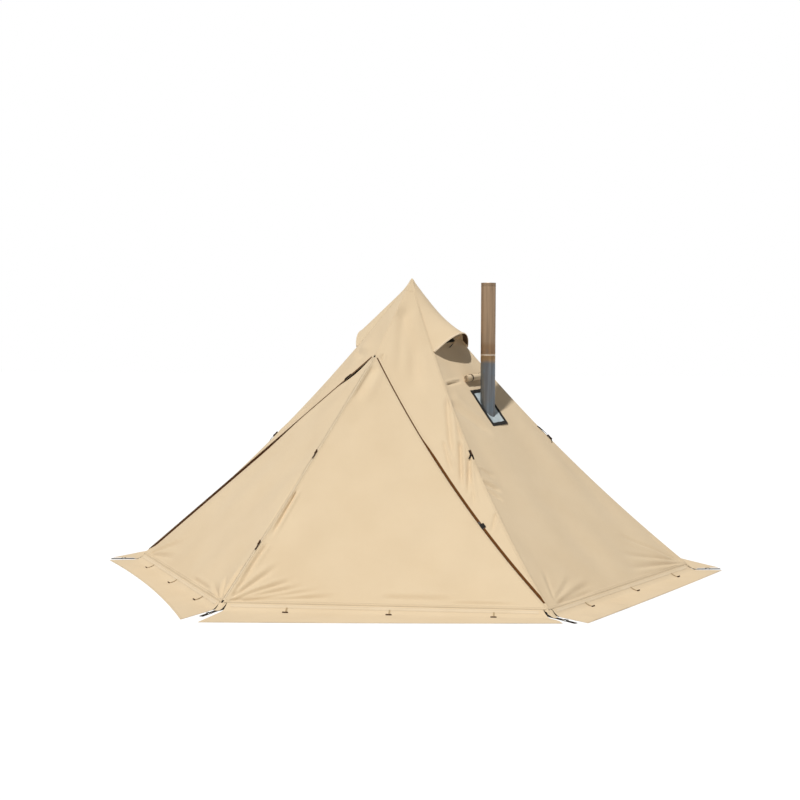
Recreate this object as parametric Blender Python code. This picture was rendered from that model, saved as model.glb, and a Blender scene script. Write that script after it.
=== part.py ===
"""Hot tent: a hexagonal canvas pyramid on one centre pole, with a corner door, vents, a stove and its chimney.

Metres, +Z up. The origin is on the ground under the peak. The front wall faces -Y, and the door folds about the
front left hip. Each wall is a quadratic surface that sags between its hips, as pitched canvas does.
"""

import math

import bmesh
import bpy
from mathutils import Matrix, Vector
from mathutils.geometry import delaunay_2d_cdt

# Canopy
CORNER_RADIUS = 2.0
PEAK_HEIGHT = 2.08
HEM_HEIGHT = 0.04
HIP_SAG = 0.085
FRONT_RIGHT_HIP_SAG = 0.15
CANVAS = 0.0012
SEAM_GAP = 0.0005
LAY_GAP = 0.0008
WALL_CELLS = 16
PANEL_TOP_SHARE = 0.985

# Door
DOOR_TOP_SHARE = 0.756
DOOR_TOP_INSET = 0.065
DOOR_HIP_SAG = 0.012
FRONT_ZIP_SAG = 0.105
ZIP_LEAN_SHARE = 0.14
LEAF_HIP_INSET = 0.008
LEAF_ZIP_INSET = 0.0008
HIP_TAPE_WIDTH = 0.0115
HIP_TAPE_THICKNESS = 0.002
HIP_TAPE_DEPTH = 0.003
HIP_TAPE_END = 0.02
DOOR_TOGGLE_RISE = 0.008
DOOR_TOGGLE_SHARES = (0.22, 0.58)

# Zips
ZIP_TAPE_WIDTH = 0.014
ZIP_TAPE_THICKNESS = 0.0012
ZIP_TAPE_TOP_END = 0.03
ZIP_TAPE_FOOT_END = 0.09
FRONT_SLIDER_SHARE = 0.659
LEFT_SLIDER_SHARE = 0.9
SLIDER_LENGTH = 0.022
SLIDER_WIDTH = 0.01
SLIDER_HEIGHT = 0.006
SLIDER_GAP = 0.0009
PULL_LENGTH = 0.045
PULL_WIDTH = 0.009
PULL_THICKNESS = 0.002

# Skirts and the webbing round the hem, each skirt as width and overhang at its left end, width in the middle,
# then width and overhang at its right end, seen from outside
SKIRT_FORMS = {
    "front": ((0.39, 0.05), 0.3, (0.19, 0.08)),
    "right": ((0.28, 0.03), 0.26, (0.22, 0.1)),
    "left": ((0.25, 0.03), 0.23, (0.31, 0.2)),
}
SKIRT_OF_WALL = {
    "front": "front",
    "right": "right",
    "back_right": "left",
    "back": "front",
    "back_left": "right",
    "left": "left",
}
HINGE_DROP = 0.001
GROUND_GAP = 0.0006
SKIRT_DROP_RUN = 0.075
SKIRT_START = 0.035
SKIRT_DROP_ROWS = 6
SKIRT_COLUMNS = 12
WEBBING_START = 0.006
WEBBING_WIDTH = 0.02
WEBBING_THICKNESS = 0.0015
WEBBING_END = 0.06
TOGGLE_SPACING = 0.63
TOGGLE_SHIFT = 0.04
TOGGLE_STRAP_LENGTH = 0.045
TOGGLE_STRAP_WIDTH = 0.01
TOGGLE_RADIUS = 0.004
TOGGLE_LENGTH = 0.03

# Corner straps and the tie loops on the hips
STRAP_WIDTH = 0.025
STRAP_THICKNESS = 0.0025
STRAP_REACH = 0.24
STRAP_DROP_RUN = 0.06
STRAP_HEAD = 0.02
TIE_SHARE = 0.47
TIE_LENGTH = 0.05
TIE_WIDTH = 0.02
TIE_THICKNESS = 0.002
TIE_GAP = 0.0013
TIE_BAR_RADIUS = 0.005
TIE_BAR_LENGTH = 0.045

# Vents under the peak
VENT_FOOT_SHARE = 0.8
VENT_HEAD_SHARE = 0.93
VENT_SPREAD_SHARE = 0.6
MESH_THICKNESS = 0.0008
HOOD_FOOT_SHARE = 0.777
HOOD_LIP_OUT = 0.09
HOOD_LIP_UP = 0.12
HOOD_INSET = 0.004
HOOD_TOP_SHARE = 0.8
HOOD_CELL = 0.028
PROP_WIDTH = 0.012
PROP_THICKNESS = 0.0024
PROP_BASE_SHARE = 0.785
PROP_GAP = 0.002
PROP_BASE_GAP = 0.0012
PROP_HINGE_RISE = 0.003

# Peak and pole
CAP_FOOT_SHARE = 0.962
CAP_THICKNESS = 0.002
POLE_RADIUS = 0.016
POLE_WALL = 0.002
POLE_JOINT_HEIGHT = 1.1
POLE_SPIGOT_LENGTH = 0.08
POLE_FIT = 0.0004
FOOT_RADIUS = 0.03
FOOT_HEIGHT = 0.04
FOOT_FLOOR = 0.012
TIP_RADIUS = 0.007
TIP_LENGTH = 0.05
TIP_GAP = 0.0006
TIP_STEEP_SHARE = 2.2

# Stove jack on the right wall
JACK_SHARE = 0.592
JACK_SIDE = 0.033
JACK_WIDTH = 0.2
JACK_LENGTH = 0.31
JACK_BORDER = 0.022
JACK_LAP = 0.012
JACK_THICKNESS = 0.0015
JACK_HOLE_GAP = 0.0016
ROLL_RISE = 0.0885
ROLL_SIDE = 0.065
ROLL_RADIUS = 0.024
ROLL_LENGTH = 0.25

# Chimney
CHIMNEY_SHARE = 0.5916
CHIMNEY_SIDE = 0.0175
CHIMNEY_RADIUS = 0.0515
CHIMNEY_WALL = 0.001
CHIMNEY_TOP = 2.045
CHIMNEY_UPPER_JOINT = 1.536
CHIMNEY_LOWER_JOINT = 1.028
CHIMNEY_SPIGOT = 0.05
CHIMNEY_FIT = 0.0004
ROUND_STEPS = 32
DAMPER_RISE = 0.2
DAMPER_THICKNESS = 0.0015
DAMPER_EDGE_GAP = 0.003
SPINDLE_RADIUS = 0.003
SPINDLE_GAP = 0.0005
SPINDLE_OUT = 0.02
HANDLE_LENGTH = 0.05
HANDLE_RADIUS = 0.004

# Stove
STOVE_LENGTH = 0.42
STOVE_WIDTH = 0.24
STOVE_HEIGHT = 0.28
STOVE_LEG_HEIGHT = 0.2
STOVE_WALL = 0.003
STOVE_BEHIND_FLUE = 0.1
COLLAR_HEIGHT = 0.04
DOOR_WIDTH = 0.17
DOOR_HEIGHT = 0.18
DOOR_LAP = 0.012
DOOR_PLATE = 0.004
DOOR_RISE = 0.05
DOOR_GAP = 0.0008
BARREL_RADIUS = 0.005
LUG_HEIGHT = 0.01
LATCH_LENGTH = 0.05
LATCH_WIDTH = 0.012
LATCH_THICKNESS = 0.004
LATCH_KNOB_RADIUS = 0.007
LATCH_KNOB_LENGTH = 0.02
SLOT_COUNT = 3
SLOT_WIDTH = 0.012
SLOT_HEIGHT = 0.03
SLOT_PITCH = 0.028
SLOT_RISE = 0.03
SLIDE_MARGIN = 0.01
SLIDE_THICKNESS = 0.002
SLIDE_GAP = 0.0005
SLIDE_TAB = 0.014
LEG_RADIUS = 0.005
LEG_SHARE = 0.9
LEG_INSET = 0.03
LEG_DROP = 0.0056
LEG_NEST = 0.014
OVERRUN = 0.02
SLIVER_SHARE = 0.0001

CORNERS = {"front_left": 240, "front_right": 300, "right": 0, "back_right": 60, "back_left": 120, "left": 180}
WALLS = {
    "front": ("front_left", "front_right", 270),
    "right": ("front_right", "right", 330),
    "back_right": ("right", "back_right", 30),
    "back": ("back_right", "back_left", 90),
    "back_left": ("back_left", "left", 150),
    "left": ("left", "front_left", 210),
}
FINISHES = {
    "canvas": ((0.81, 0.66, 0.45), 0.9, 0),
    "webbing": ((0.2, 0.15, 0.1), 0.8, 0),
    "black_fabric": ((0.03, 0.025, 0.02), 0.8, 0),
    "black_plastic": ((0.02, 0.02, 0.02), 0.5, 0),
    "mesh": ((0.05, 0.05, 0.05), 0.8, 0),
    "heatproof": ((0.5, 0.52, 0.53), 0.7, 0),
    "zip": ((0.08, 0.05, 0.03), 0.6, 0),
    "zip_metal": ((0.05, 0.05, 0.05), 0.35, 1),
    "pole": ((0.6, 0.61, 0.62), 0.35, 1),
    "rubber": ((0.03, 0.03, 0.03), 0.9, 0),
    "stove": ((0.04, 0.04, 0.045), 0.5, 0),
    "chimney": ((0.42, 0.36, 0.3), 0.3, 1),
    "steel": ((0.5, 0.5, 0.5), 0.35, 1),
}
UP = Vector((0, 0, 1))
ORIGIN = Vector((0, 0, 0))
PEAK = Vector((0, 0, PEAK_HEIGHT))
HALF_SIDE = CORNER_RADIUS / 2
APOTHEM = CORNER_RADIUS * math.cos(math.pi / 6)


def heading(degrees):
    return Vector((math.cos(math.radians(degrees)), math.sin(math.radians(degrees)), 0))


def corner_point(corner):
    return heading(CORNERS[corner]) * CORNER_RADIUS + UP * HEM_HEIGHT


def hip_inward(corner):
    """Square to the straight hip, in its own upright plane, and pointing into the tent."""
    along = (PEAK - corner_point(corner)).normalized()
    out = heading(CORNERS[corner])
    return along.cross(UP.cross(out)).normalized()


def square_to(vector, along):
    along = along.normalized()
    return (vector - along * vector.dot(along)).normalized()


class Wall:
    """Canvas over a triangle of top, left and right corners. Each sag is how far the middle of an edge hangs in."""

    def __init__(self, top, left, right, left_sag=ORIGIN, foot_sag=ORIGIN, right_sag=ORIGIN):
        self.corners = (top, left, right)
        self.sags = (left_sag, foot_sag, right_sag)
        foot = right - left
        reach = (top - left).dot(foot) / foot.length
        self.height = math.sqrt((top - left).length_squared - reach * reach)
        self.flat = (Vector((0, self.height)), Vector((-reach, 0)), Vector((foot.length - reach, 0)))

    def shares(self, spot):
        top = spot[1] / self.height
        right = (spot[0] - self.flat[1][0] * (1 - top)) / (self.flat[2][0] - self.flat[1][0])
        return top, 1 - top - right, right

    def spot(self, top, left, right):
        return self.flat[0] * top + self.flat[1] * left + self.flat[2] * right

    def point(self, spot, lift=0.0):
        shares = self.shares(spot)
        place = Vector((0, 0, 0))
        for i in range(3):
            follower = (i + 1) % 3
            place += self.corners[i] * shares[i]
            place += self.sags[i] * (4 * shares[i] * shares[follower])
        return place + self.normal(spot) * lift if lift else place

    def slopes(self, spot):
        shares = self.shares(spot)
        rates = []
        for i in range(3):
            follower = (i + 1) % 3
            leader = (i + 2) % 3
            rate = self.corners[i] + self.sags[i] * (4 * shares[follower])
            rates.append(rate + self.sags[leader] * (4 * shares[leader]))
        width = self.flat[2][0] - self.flat[1][0]
        across = (rates[2] - rates[1]) / width
        right_rate = self.flat[1][0] / (self.height * width)
        up = rates[0] / self.height + rates[2] * right_rate - rates[1] * (1 / self.height + right_rate)
        return across, up

    def normal(self, spot):
        across, up = self.slopes(spot)
        return across.cross(up).normalized()

    def under(self, x, y, lift):
        """The flat spot whose lifted point is straight over x, y."""
        spot = self.spot(1 / 3, 1 / 3, 1 / 3)
        for _ in range(20):
            miss = Vector((x, y)) - self.point(spot, lift).to_2d()
            across, up = self.slopes(spot)
            turn = Matrix(((across.x, up.x), (across.y, up.y))).inverted()
            spot = spot + turn @ miss
        return spot


class Ground:
    """Cloth that drops from an edge and lies on the ground. Spots are along the edge and outward from it."""

    def __init__(self, edge, out, thickness, run):
        self.edge = edge
        self.out = out
        self.along = UP.cross(out)
        self.drop = edge.z - GROUND_GAP - thickness / 2
        self.run = run

    def point(self, spot, lift=0.0):
        left = min(1.0, max(0.0, 1 - spot[1] / self.run))
        slope = 2 * self.drop * left / self.run if spot[1] > 0 else 0.0
        normal = (UP + self.out * slope).normalized()
        fall = UP * (self.drop * (left * left - 1))
        return self.edge + self.along * spot[0] + self.out * spot[1] + fall + normal * lift


class Skirt(Ground):
    """The sod cloth outside one hem."""

    def __init__(self, wall):
        out = heading(WALLS[wall][2])
        hem = out * APOTHEM + UP * HEM_HEIGHT
        edge = hem + (hem - PEAK).normalized() * HINGE_DROP
        super().__init__(edge, out, CANVAS, SKIRT_DROP_RUN)
        self.left, self.middle, self.right = SKIRT_FORMS[SKIRT_OF_WALL[wall]]

    def width(self, share):
        """The outer edge: a parabola through the three widths."""
        straight = self.left[0] * (1 - share) + self.right[0] * share
        bulge = self.middle - (self.left[0] + self.right[0]) / 2
        return straight + 4 * bulge * share * (1 - share)

    def tip(self, side):
        width, reach = self.left if side < 0 else self.right
        return Vector((side * (HALF_SIDE + reach), width))

    def end(self, side, out):
        start = Vector((side * (HALF_SIDE - SKIRT_START), 0))
        return start.lerp(self.tip(side), out / self.tip(side)[1])

    def spots(self):
        rows = []
        for step in range(SKIRT_DROP_ROWS + 1):
            out = self.run * step / SKIRT_DROP_ROWS
            row = [self.end(-1, out).lerp(self.end(1, out), i / SKIRT_COLUMNS) for i in range(SKIRT_COLUMNS + 1)]
            rows.append(row)
        rim = []
        for i in range(SKIRT_COLUMNS + 1):
            share = i / SKIRT_COLUMNS
            rim.append(Vector((self.tip(-1).lerp(self.tip(1), share)[0], self.width(share))))
        middle = [a.lerp(b, 1 / 2) for a, b in zip(rows[-1], rim)]
        return rows + [middle, rim]


def divided(corners, counts):
    """The closed polygon with each edge cut into its count of equal pieces."""
    points = []
    for i, corner in enumerate(corners):
        follower = corners[(i + 1) % len(corners)]
        count = counts[i] if isinstance(counts, (list, tuple)) else counts
        points += [corner.lerp(follower, step / count) for step in range(count)]
    return points


def by_length(corners, cell):
    counts = []
    for i, corner in enumerate(corners):
        follower = corners[(i + 1) % len(corners)]
        counts.append(max(1, math.ceil((follower - corner).length / cell)))
    return divided(corners, counts)


def inset(corners, gaps):
    """A convex polygon, listed anticlockwise, with each edge moved inward by its own gap."""
    count = len(corners)
    lines = []
    for i, corner in enumerate(corners):
        along = (corners[(i + 1) % count] - corner).normalized()
        lines.append((corner + Vector((-along.y, along.x)) * gaps[i], along))
    moved = []
    for i, (place, along) in enumerate(lines):
        before, heading_before = lines[i - 1]
        step = (before - place).cross(heading_before) / along.cross(heading_before)
        moved.append(place + along * step)
    return moved


def inside(point, polygon):
    hit = False
    for i, corner in enumerate(polygon):
        other = polygon[i - 1]
        if (corner[1] > point[1]) != (other[1] > point[1]):
            crossing = corner[0] + (point[1] - corner[1]) * (other[0] - corner[0]) / (other[1] - corner[1])
            if point[0] < crossing:
                hit = not hit
    return hit


def edge_distance(point, polygon):
    nearest = math.inf
    for i, corner in enumerate(polygon):
        other = polygon[i - 1]
        along = other - corner
        share = min(1.0, max(0.0, (point - corner).dot(along) / max(along.length_squared, 1e-12)))
        nearest = min(nearest, (point - corner - along * share).length)
    return nearest


def triangulated(outline, holes, cell):
    """Points and triangles that fill the outline round its holes, with inner points one cell apart."""
    loops = [outline] + holes
    points = []
    edges = []
    for loop in loops:
        first = len(points)
        points += [Vector(p) for p in loop]
        edges += [(first + i, first + (i + 1) % len(loop)) for i in range(len(loop))]
    low = Vector((min(p[0] for p in outline), min(p[1] for p in outline)))
    high = Vector((max(p[0] for p in outline), max(p[1] for p in outline)))
    rows = int((high[1] - low[1]) / (cell * 0.866)) + 1
    for row in range(rows):
        for column in range(int((high[0] - low[0]) / cell) + 2):
            spot = Vector((low[0] + (column + row % 2 / 2) * cell, low[1] + row * cell * 0.866))
            if not inside(spot, outline) or any(inside(spot, hole) for hole in holes):
                continue
            if all(edge_distance(spot, loop) > cell * 0.5 for loop in loops):
                points.append(spot)
    found = delaunay_2d_cdt(points, edges, [], 0, 1e-7)
    kept = []
    for face in found[2]:
        corners = [found[0][i] for i in face]
        middle = (corners[0] + corners[1] + corners[2]) / 3
        if not inside(middle, outline) or any(inside(middle, hole) for hole in holes):
            continue
        turn = (corners[1] - corners[0]).cross(corners[2] - corners[0])
        if abs(turn) > SLIVER_SHARE * cell * cell:
            kept.append(tuple(face) if turn > 0 else tuple(reversed(face)))
    return found[0], kept


def material(slot):
    made = bpy.data.materials.get(slot)
    if made is None:
        colour, roughness, metallic = FINISHES[slot]
        made = bpy.data.materials.new(slot)
        made.use_nodes = True
        shader = made.node_tree.nodes["Principled BSDF"]
        shader.inputs["Base Color"].default_value = (*colour, 1)
        shader.inputs["Roughness"].default_value = roughness
        shader.inputs["Metallic"].default_value = metallic
    return made


def put(name, build, slot, pivot=ORIGIN, smooth=False):
    """An object whose origin is the pivot, from a mesh in tent coordinates."""
    bmesh.ops.translate(build, verts=build.verts, vec=-pivot)
    mesh = bpy.data.meshes.new(name)
    build.to_mesh(mesh)
    build.free()
    mesh.materials.append(material(slot))
    for polygon in mesh.polygons:
        polygon.use_smooth = smooth
    thing = bpy.data.objects.new(name, mesh)
    thing.location = pivot
    bpy.context.scene.collection.objects.link(thing)
    return thing


def thick(thing, thickness):
    solid = thing.modifiers.new("Thickness", "SOLIDIFY")
    solid.thickness = thickness
    solid.offset = 0
    solid.use_even_offset = True
    return thing


def sheet(name, surface, outline, thickness, slot, lift=0.0, holes=(), cell=0.2, pivot=ORIGIN):
    """A sheet of even thickness whose middle lies the lift above the surface."""
    points, triangles = triangulated(outline, list(holes), cell)
    build = bmesh.new()
    used = {i for triangle in triangles for i in triangle}
    corners = {i: build.verts.new(surface.point(points[i], lift)) for i in sorted(used)}
    for triangle in triangles:
        build.faces.new([corners[i] for i in triangle])
    return thick(put(name, build, slot, pivot, smooth=True), thickness)


def quilt(name, surface, rows, thickness, slot, lift=0.0, kept=None, pivot=ORIGIN):
    """A sheet on rows of spots, each row from left to right and the rows outward or upward."""
    build = bmesh.new()
    corners = {}
    for j in range(len(rows) - 1):
        for i in range(len(rows[j]) - 1):
            if kept is not None and not kept(i, j):
                continue
            ring = []
            for column, row in ((i, j), (i + 1, j), (i + 1, j + 1), (i, j + 1)):
                if (column, row) not in corners:
                    corners[column, row] = build.verts.new(surface.point(rows[row][column], lift))
                ring.append(corners[column, row])
            build.faces.new(ring)
    return thick(put(name, build, slot, pivot, smooth=True), thickness)


def closed(name, build, slot, pivot=ORIGIN, smooth=False):
    bmesh.ops.recalc_face_normals(build, faces=build.faces)
    return put(name, build, slot, pivot, smooth)


def box(name, low, high, slot, pivot=ORIGIN, frame=None):
    """A box between two corners, given in the frame if there is one."""
    build = bmesh.new()
    bmesh.ops.create_cube(build, size=1)
    for vert in build.verts:
        spot = [low[i] + (high[i] - low[i]) * (vert.co[i] + 0.5) for i in range(3)]
        vert.co = frame @ Vector(spot) if frame else Vector(spot)
    return closed(name, build, slot, pivot)


def lathe(name, profile, slot, frame=None, pivot=ORIGIN, steps=ROUND_STEPS):
    """The closed profile of radius and height turned about the frame's Z."""
    build = bmesh.new()
    rings = []
    for step in range(steps):
        turn = 2 * math.pi * step / steps
        ring = []
        for radius, height in profile:
            spot = Vector((radius * math.cos(turn), radius * math.sin(turn), height))
            ring.append(build.verts.new(frame @ spot if frame else spot))
        rings.append(ring)
    for step, ring in enumerate(rings):
        follower = rings[(step + 1) % steps]
        for i in range(len(profile)):
            j = (i + 1) % len(profile)
            build.faces.new((ring[i], ring[j], follower[j], follower[i]))
    bmesh.ops.remove_doubles(build, verts=build.verts, dist=1e-6)
    bmesh.ops.dissolve_degenerate(build, edges=build.edges, dist=1e-6)
    return closed(name, build, slot, pivot, smooth=True)


def rod(name, start, end, radius, slot, pivot=ORIGIN, steps=16):
    length = (end - start).length
    turn = UP.rotation_difference(end - start).to_matrix().to_4x4()
    profile = [(0, 0), (radius, 0), (radius, length), (0, length)]
    return lathe(name, profile, slot, Matrix.Translation(start) @ turn, pivot, steps)


def tube(outer, inner, low, high):
    return [(inner, low), (outer, low), (outer, high), (inner, high)]


def shaped(thing, other, operation):
    """Joins the helper to the thing or cuts it away, and keeps the helper out of the tent."""
    other.hide_render = True
    other.display_type = "WIRE"
    boolean = thing.modifiers.new(other.name, "BOOLEAN")
    boolean.operation = operation
    boolean.solver = "EXACT"
    boolean.object = other
    return thing


def joined(thing, *others):
    for other in others:
        shaped(thing, other, "UNION")
    return thing


def cut(thing, *others):
    for other in others:
        shaped(thing, other, "DIFFERENCE")
    return thing


def placed(x_axis, y_axis, z_axis, place):
    """The frame with these axes at this place."""
    turn = Matrix((x_axis, y_axis, z_axis)).transposed().to_4x4()
    return Matrix.Translation(place) @ turn


def hip_sag(corner):
    return hip_inward(corner) * (FRONT_RIGHT_HIP_SAG if corner == "front_right" else HIP_SAG)


def hip_point(corner, share, lift=0.0):
    """On the hip, at this share of the peak, and this far out from it. The door's hip is straight at its top."""
    raised = hip_inward(corner) * -lift
    if corner == "front_left":
        return PEAK.lerp(DOOR_TOP, (1 - share) / (1 - DOOR_TOP_SHARE)) + raised
    return corner_point(corner).lerp(PEAK, share) + hip_sag(corner) * (4 * share * (1 - share)) + raised


def whole_wall(wall):
    left, right, _ = WALLS[wall]
    return Wall(PEAK, corner_point(left), corner_point(right), hip_sag(left), ORIGIN, hip_sag(right))


def panel_outline(surface, gaps, left_reach=1.0, right_reach=1.0):
    """The wall's triangle, cut short below the peak, with gaps along its foot, right and left edges.

    A reach is how much of the way from the peak to the hem that side of the wall covers."""
    left = (1 - PANEL_TOP_SHARE) / left_reach
    right = (1 - PANEL_TOP_SHARE) / right_reach
    corners = [surface.spot(0, 1, 0), surface.spot(0, 0, 1)]
    corners += [surface.spot(1 - right, 0, right), surface.spot(1 - left, left, 0)]
    moved = inset(corners, (gaps[0], gaps[1], 0, gaps[2]))
    return divided(moved, (WALL_CELLS, WALL_CELLS, 1, WALL_CELLS))


def leaf_outline(surface, gaps):
    corners = [surface.spot(0, 1, 0), surface.spot(0, 0, 1), surface.spot(1, 0, 0)]
    return divided(inset(corners, gaps), WALL_CELLS)


def vent_outline(surface, gap):
    corners = []
    for share, side in ((VENT_FOOT_SHARE, -1), (VENT_FOOT_SHARE, 1), (VENT_HEAD_SHARE, 1), (VENT_HEAD_SHARE, -1)):
        corners.append(Vector((side * VENT_SPREAD_SHARE * HALF_SIDE * (1 - share), share * surface.height)))
    return divided(inset(corners, [gap] * 4), 4)


def jack_rectangle(surface, inward):
    """The jack's outline in the wall, moved inward by this much."""
    wide = JACK_WIDTH / 2 - inward
    tall = JACK_LENGTH / 2 - inward
    middle = Vector((JACK_SIDE, JACK_SHARE * surface.height))
    corners = [middle + Vector((x * wide, y * tall)) for x, y in ((-1, -1), (1, -1), (1, 1), (-1, 1))]
    return divided(corners, 4)


CELL = CORNER_RADIUS / WALL_CELLS
FRONT_LEFT = corner_point("front_left")
FRONT_RIGHT = corner_point("front_right")
LEFT = corner_point("left")
DOOR_TOP = FRONT_LEFT.lerp(PEAK, DOOR_TOP_SHARE) + hip_inward("front_left") * DOOR_TOP_INSET
DOOR_PIVOT = DOOR_TOP.lerp(FRONT_LEFT, 1 / 2)
DOOR_SAG = hip_inward("front_left") * DOOR_HIP_SAG
ZIP_LEAN = hip_inward("front_right") - hip_inward("front_left") * ZIP_LEAN_SHARE
ZIP_SAG = square_to(ZIP_LEAN, FRONT_RIGHT - DOOR_TOP) * FRONT_ZIP_SAG
FRONT_UPPER = Wall(PEAK, DOOR_TOP, FRONT_RIGHT, ORIGIN, ZIP_SAG, hip_sag("front_right"))
LEFT_UPPER = Wall(PEAK, LEFT, DOOR_TOP, hip_sag("left"), ORIGIN, ORIGIN)
LEAF_FRONT = Wall(DOOR_TOP, FRONT_LEFT, FRONT_RIGHT, DOOR_SAG, ORIGIN, ZIP_SAG)
LEAF_LEFT = Wall(DOOR_TOP, LEFT, FRONT_LEFT, ORIGIN, ORIGIN, DOOR_SAG)
RIGHT_WALL = whole_wall("right")
BACK_LEFT_WALL = whole_wall("back_left")
SEAMS = (SEAM_GAP, SEAM_GAP, SEAM_GAP)
HEM_SEAMS = (0.0, SEAM_GAP, SEAM_GAP)


def add_canopy():
    reach = 1 - DOOR_TOP_SHARE
    outline = panel_outline(FRONT_UPPER, SEAMS, left_reach=reach)
    sheet("front_upper_panel", FRONT_UPPER, outline, CANVAS, "canvas", cell=CELL)
    outline = panel_outline(LEFT_UPPER, SEAMS, right_reach=reach)
    sheet("left_upper_panel", LEFT_UPPER, outline, CANVAS, "canvas", cell=CELL)
    holes = [vent_outline(RIGHT_WALL, 0.0), jack_rectangle(RIGHT_WALL, JACK_BORDER)]
    sheet("right_panel", RIGHT_WALL, panel_outline(RIGHT_WALL, HEM_SEAMS), CANVAS, "canvas", 0.0, holes, CELL)
    holes = [vent_outline(BACK_LEFT_WALL, 0.0)]
    outline = panel_outline(BACK_LEFT_WALL, HEM_SEAMS)
    sheet("back_left_panel", BACK_LEFT_WALL, outline, CANVAS, "canvas", 0.0, holes, CELL)
    for wall in ("back_right", "back"):
        surface = whole_wall(wall)
        sheet(wall + "_panel", surface, panel_outline(surface, HEM_SEAMS), CANVAS, "canvas", cell=CELL)


def add_door():
    outline = leaf_outline(LEAF_FRONT, (0.0, LEAF_ZIP_INSET, LEAF_HIP_INSET))
    sheet("door_leaf_front", LEAF_FRONT, outline, CANVAS, "canvas", cell=CELL, pivot=DOOR_PIVOT)
    outline = leaf_outline(LEAF_LEFT, (0.0, LEAF_HIP_INSET, LEAF_ZIP_INSET))
    sheet("door_leaf_left", LEAF_LEFT, outline, CANVAS, "canvas", cell=CELL, pivot=DOOR_PIVOT)
    add_hip_tape()
    for name, surface, slider in (
        ("front", FRONT_UPPER, FRONT_SLIDER_SHARE),
        ("left", LEFT_UPPER, LEFT_SLIDER_SHARE),
    ):
        add_zip(name, surface, slider)


def hip_frame(place, along, inward):
    """X across the hip, Y up along it and Z out of the tent."""
    along = along.normalized()
    out = -square_to(inward, along)
    return placed(along.cross(out), along, out, place)


def add_hip_tape():
    """The strip between the two leaves, with its two toggles."""
    build = bmesh.new()
    rows = []
    reach = (DOOR_TOP - FRONT_LEFT).length
    span = 1 - 2 * HIP_TAPE_END / reach
    for i in range(WALL_CELLS + 1):
        share = HIP_TAPE_END / reach + span * i / WALL_CELLS
        along = DOOR_TOP - FRONT_LEFT + DOOR_SAG * (4 - 8 * share)
        place = FRONT_LEFT.lerp(DOOR_TOP, share) + DOOR_SAG * (4 * share * (1 - share))
        frame = hip_frame(place, along, DOOR_SAG)
        half = HIP_TAPE_WIDTH / 2
        top = HIP_TAPE_THICKNESS / 2 - HIP_TAPE_DEPTH
        low = top - HIP_TAPE_THICKNESS
        ring = [frame @ Vector((x, 0, z)) for x, z in ((-half, low), (half, low), (half, top), (-half, top))]
        rows.append([build.verts.new(spot) for spot in ring])
    for row, follower in zip(rows, rows[1:]):
        for i in range(4):
            j = (i + 1) % 4
            build.faces.new((row[i], row[j], follower[j], follower[i]))
    build.faces.new(rows[0])
    build.faces.new(rows[-1])
    tape = closed("door_hip_tape", build, "canvas")
    for i, share in enumerate(DOOR_TOGGLE_SHARES):
        along = DOOR_TOP - FRONT_LEFT + DOOR_SAG * (4 - 8 * share)
        place = FRONT_LEFT.lerp(DOOR_TOP, share) + DOOR_SAG * (4 * share * (1 - share))
        frame = hip_frame(place, along, DOOR_SAG)
        low = frame @ Vector((0, -TOGGLE_LENGTH / 2, DOOR_TOGGLE_RISE))
        high = frame @ Vector((0, TOGGLE_LENGTH / 2, DOOR_TOGGLE_RISE))
        half = TOGGLE_RADIUS / 2
        foot = Vector((-half, -half, -HIP_TAPE_DEPTH))
        head = Vector((half, half, DOOR_TOGGLE_RISE))
        stem = box(f"door_toggle_stem_{i}", foot, head, "canvas", frame=frame)
        bar = rod(f"door_toggle_bar_{i}", low, high, TOGGLE_RADIUS, "canvas")
        joined(tape, stem, bar)


def zip_arc_centre():
    """The front zip hangs in an arc, and its slider turns about the arc's far centre."""
    chord = (FRONT_RIGHT - DOOR_TOP).length
    radius = chord * chord / (8 * FRONT_ZIP_SAG) + FRONT_ZIP_SAG / 2
    return DOOR_TOP.lerp(FRONT_RIGHT, 1 / 2) - ZIP_SAG.normalized() * (radius - FRONT_ZIP_SAG)


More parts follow.
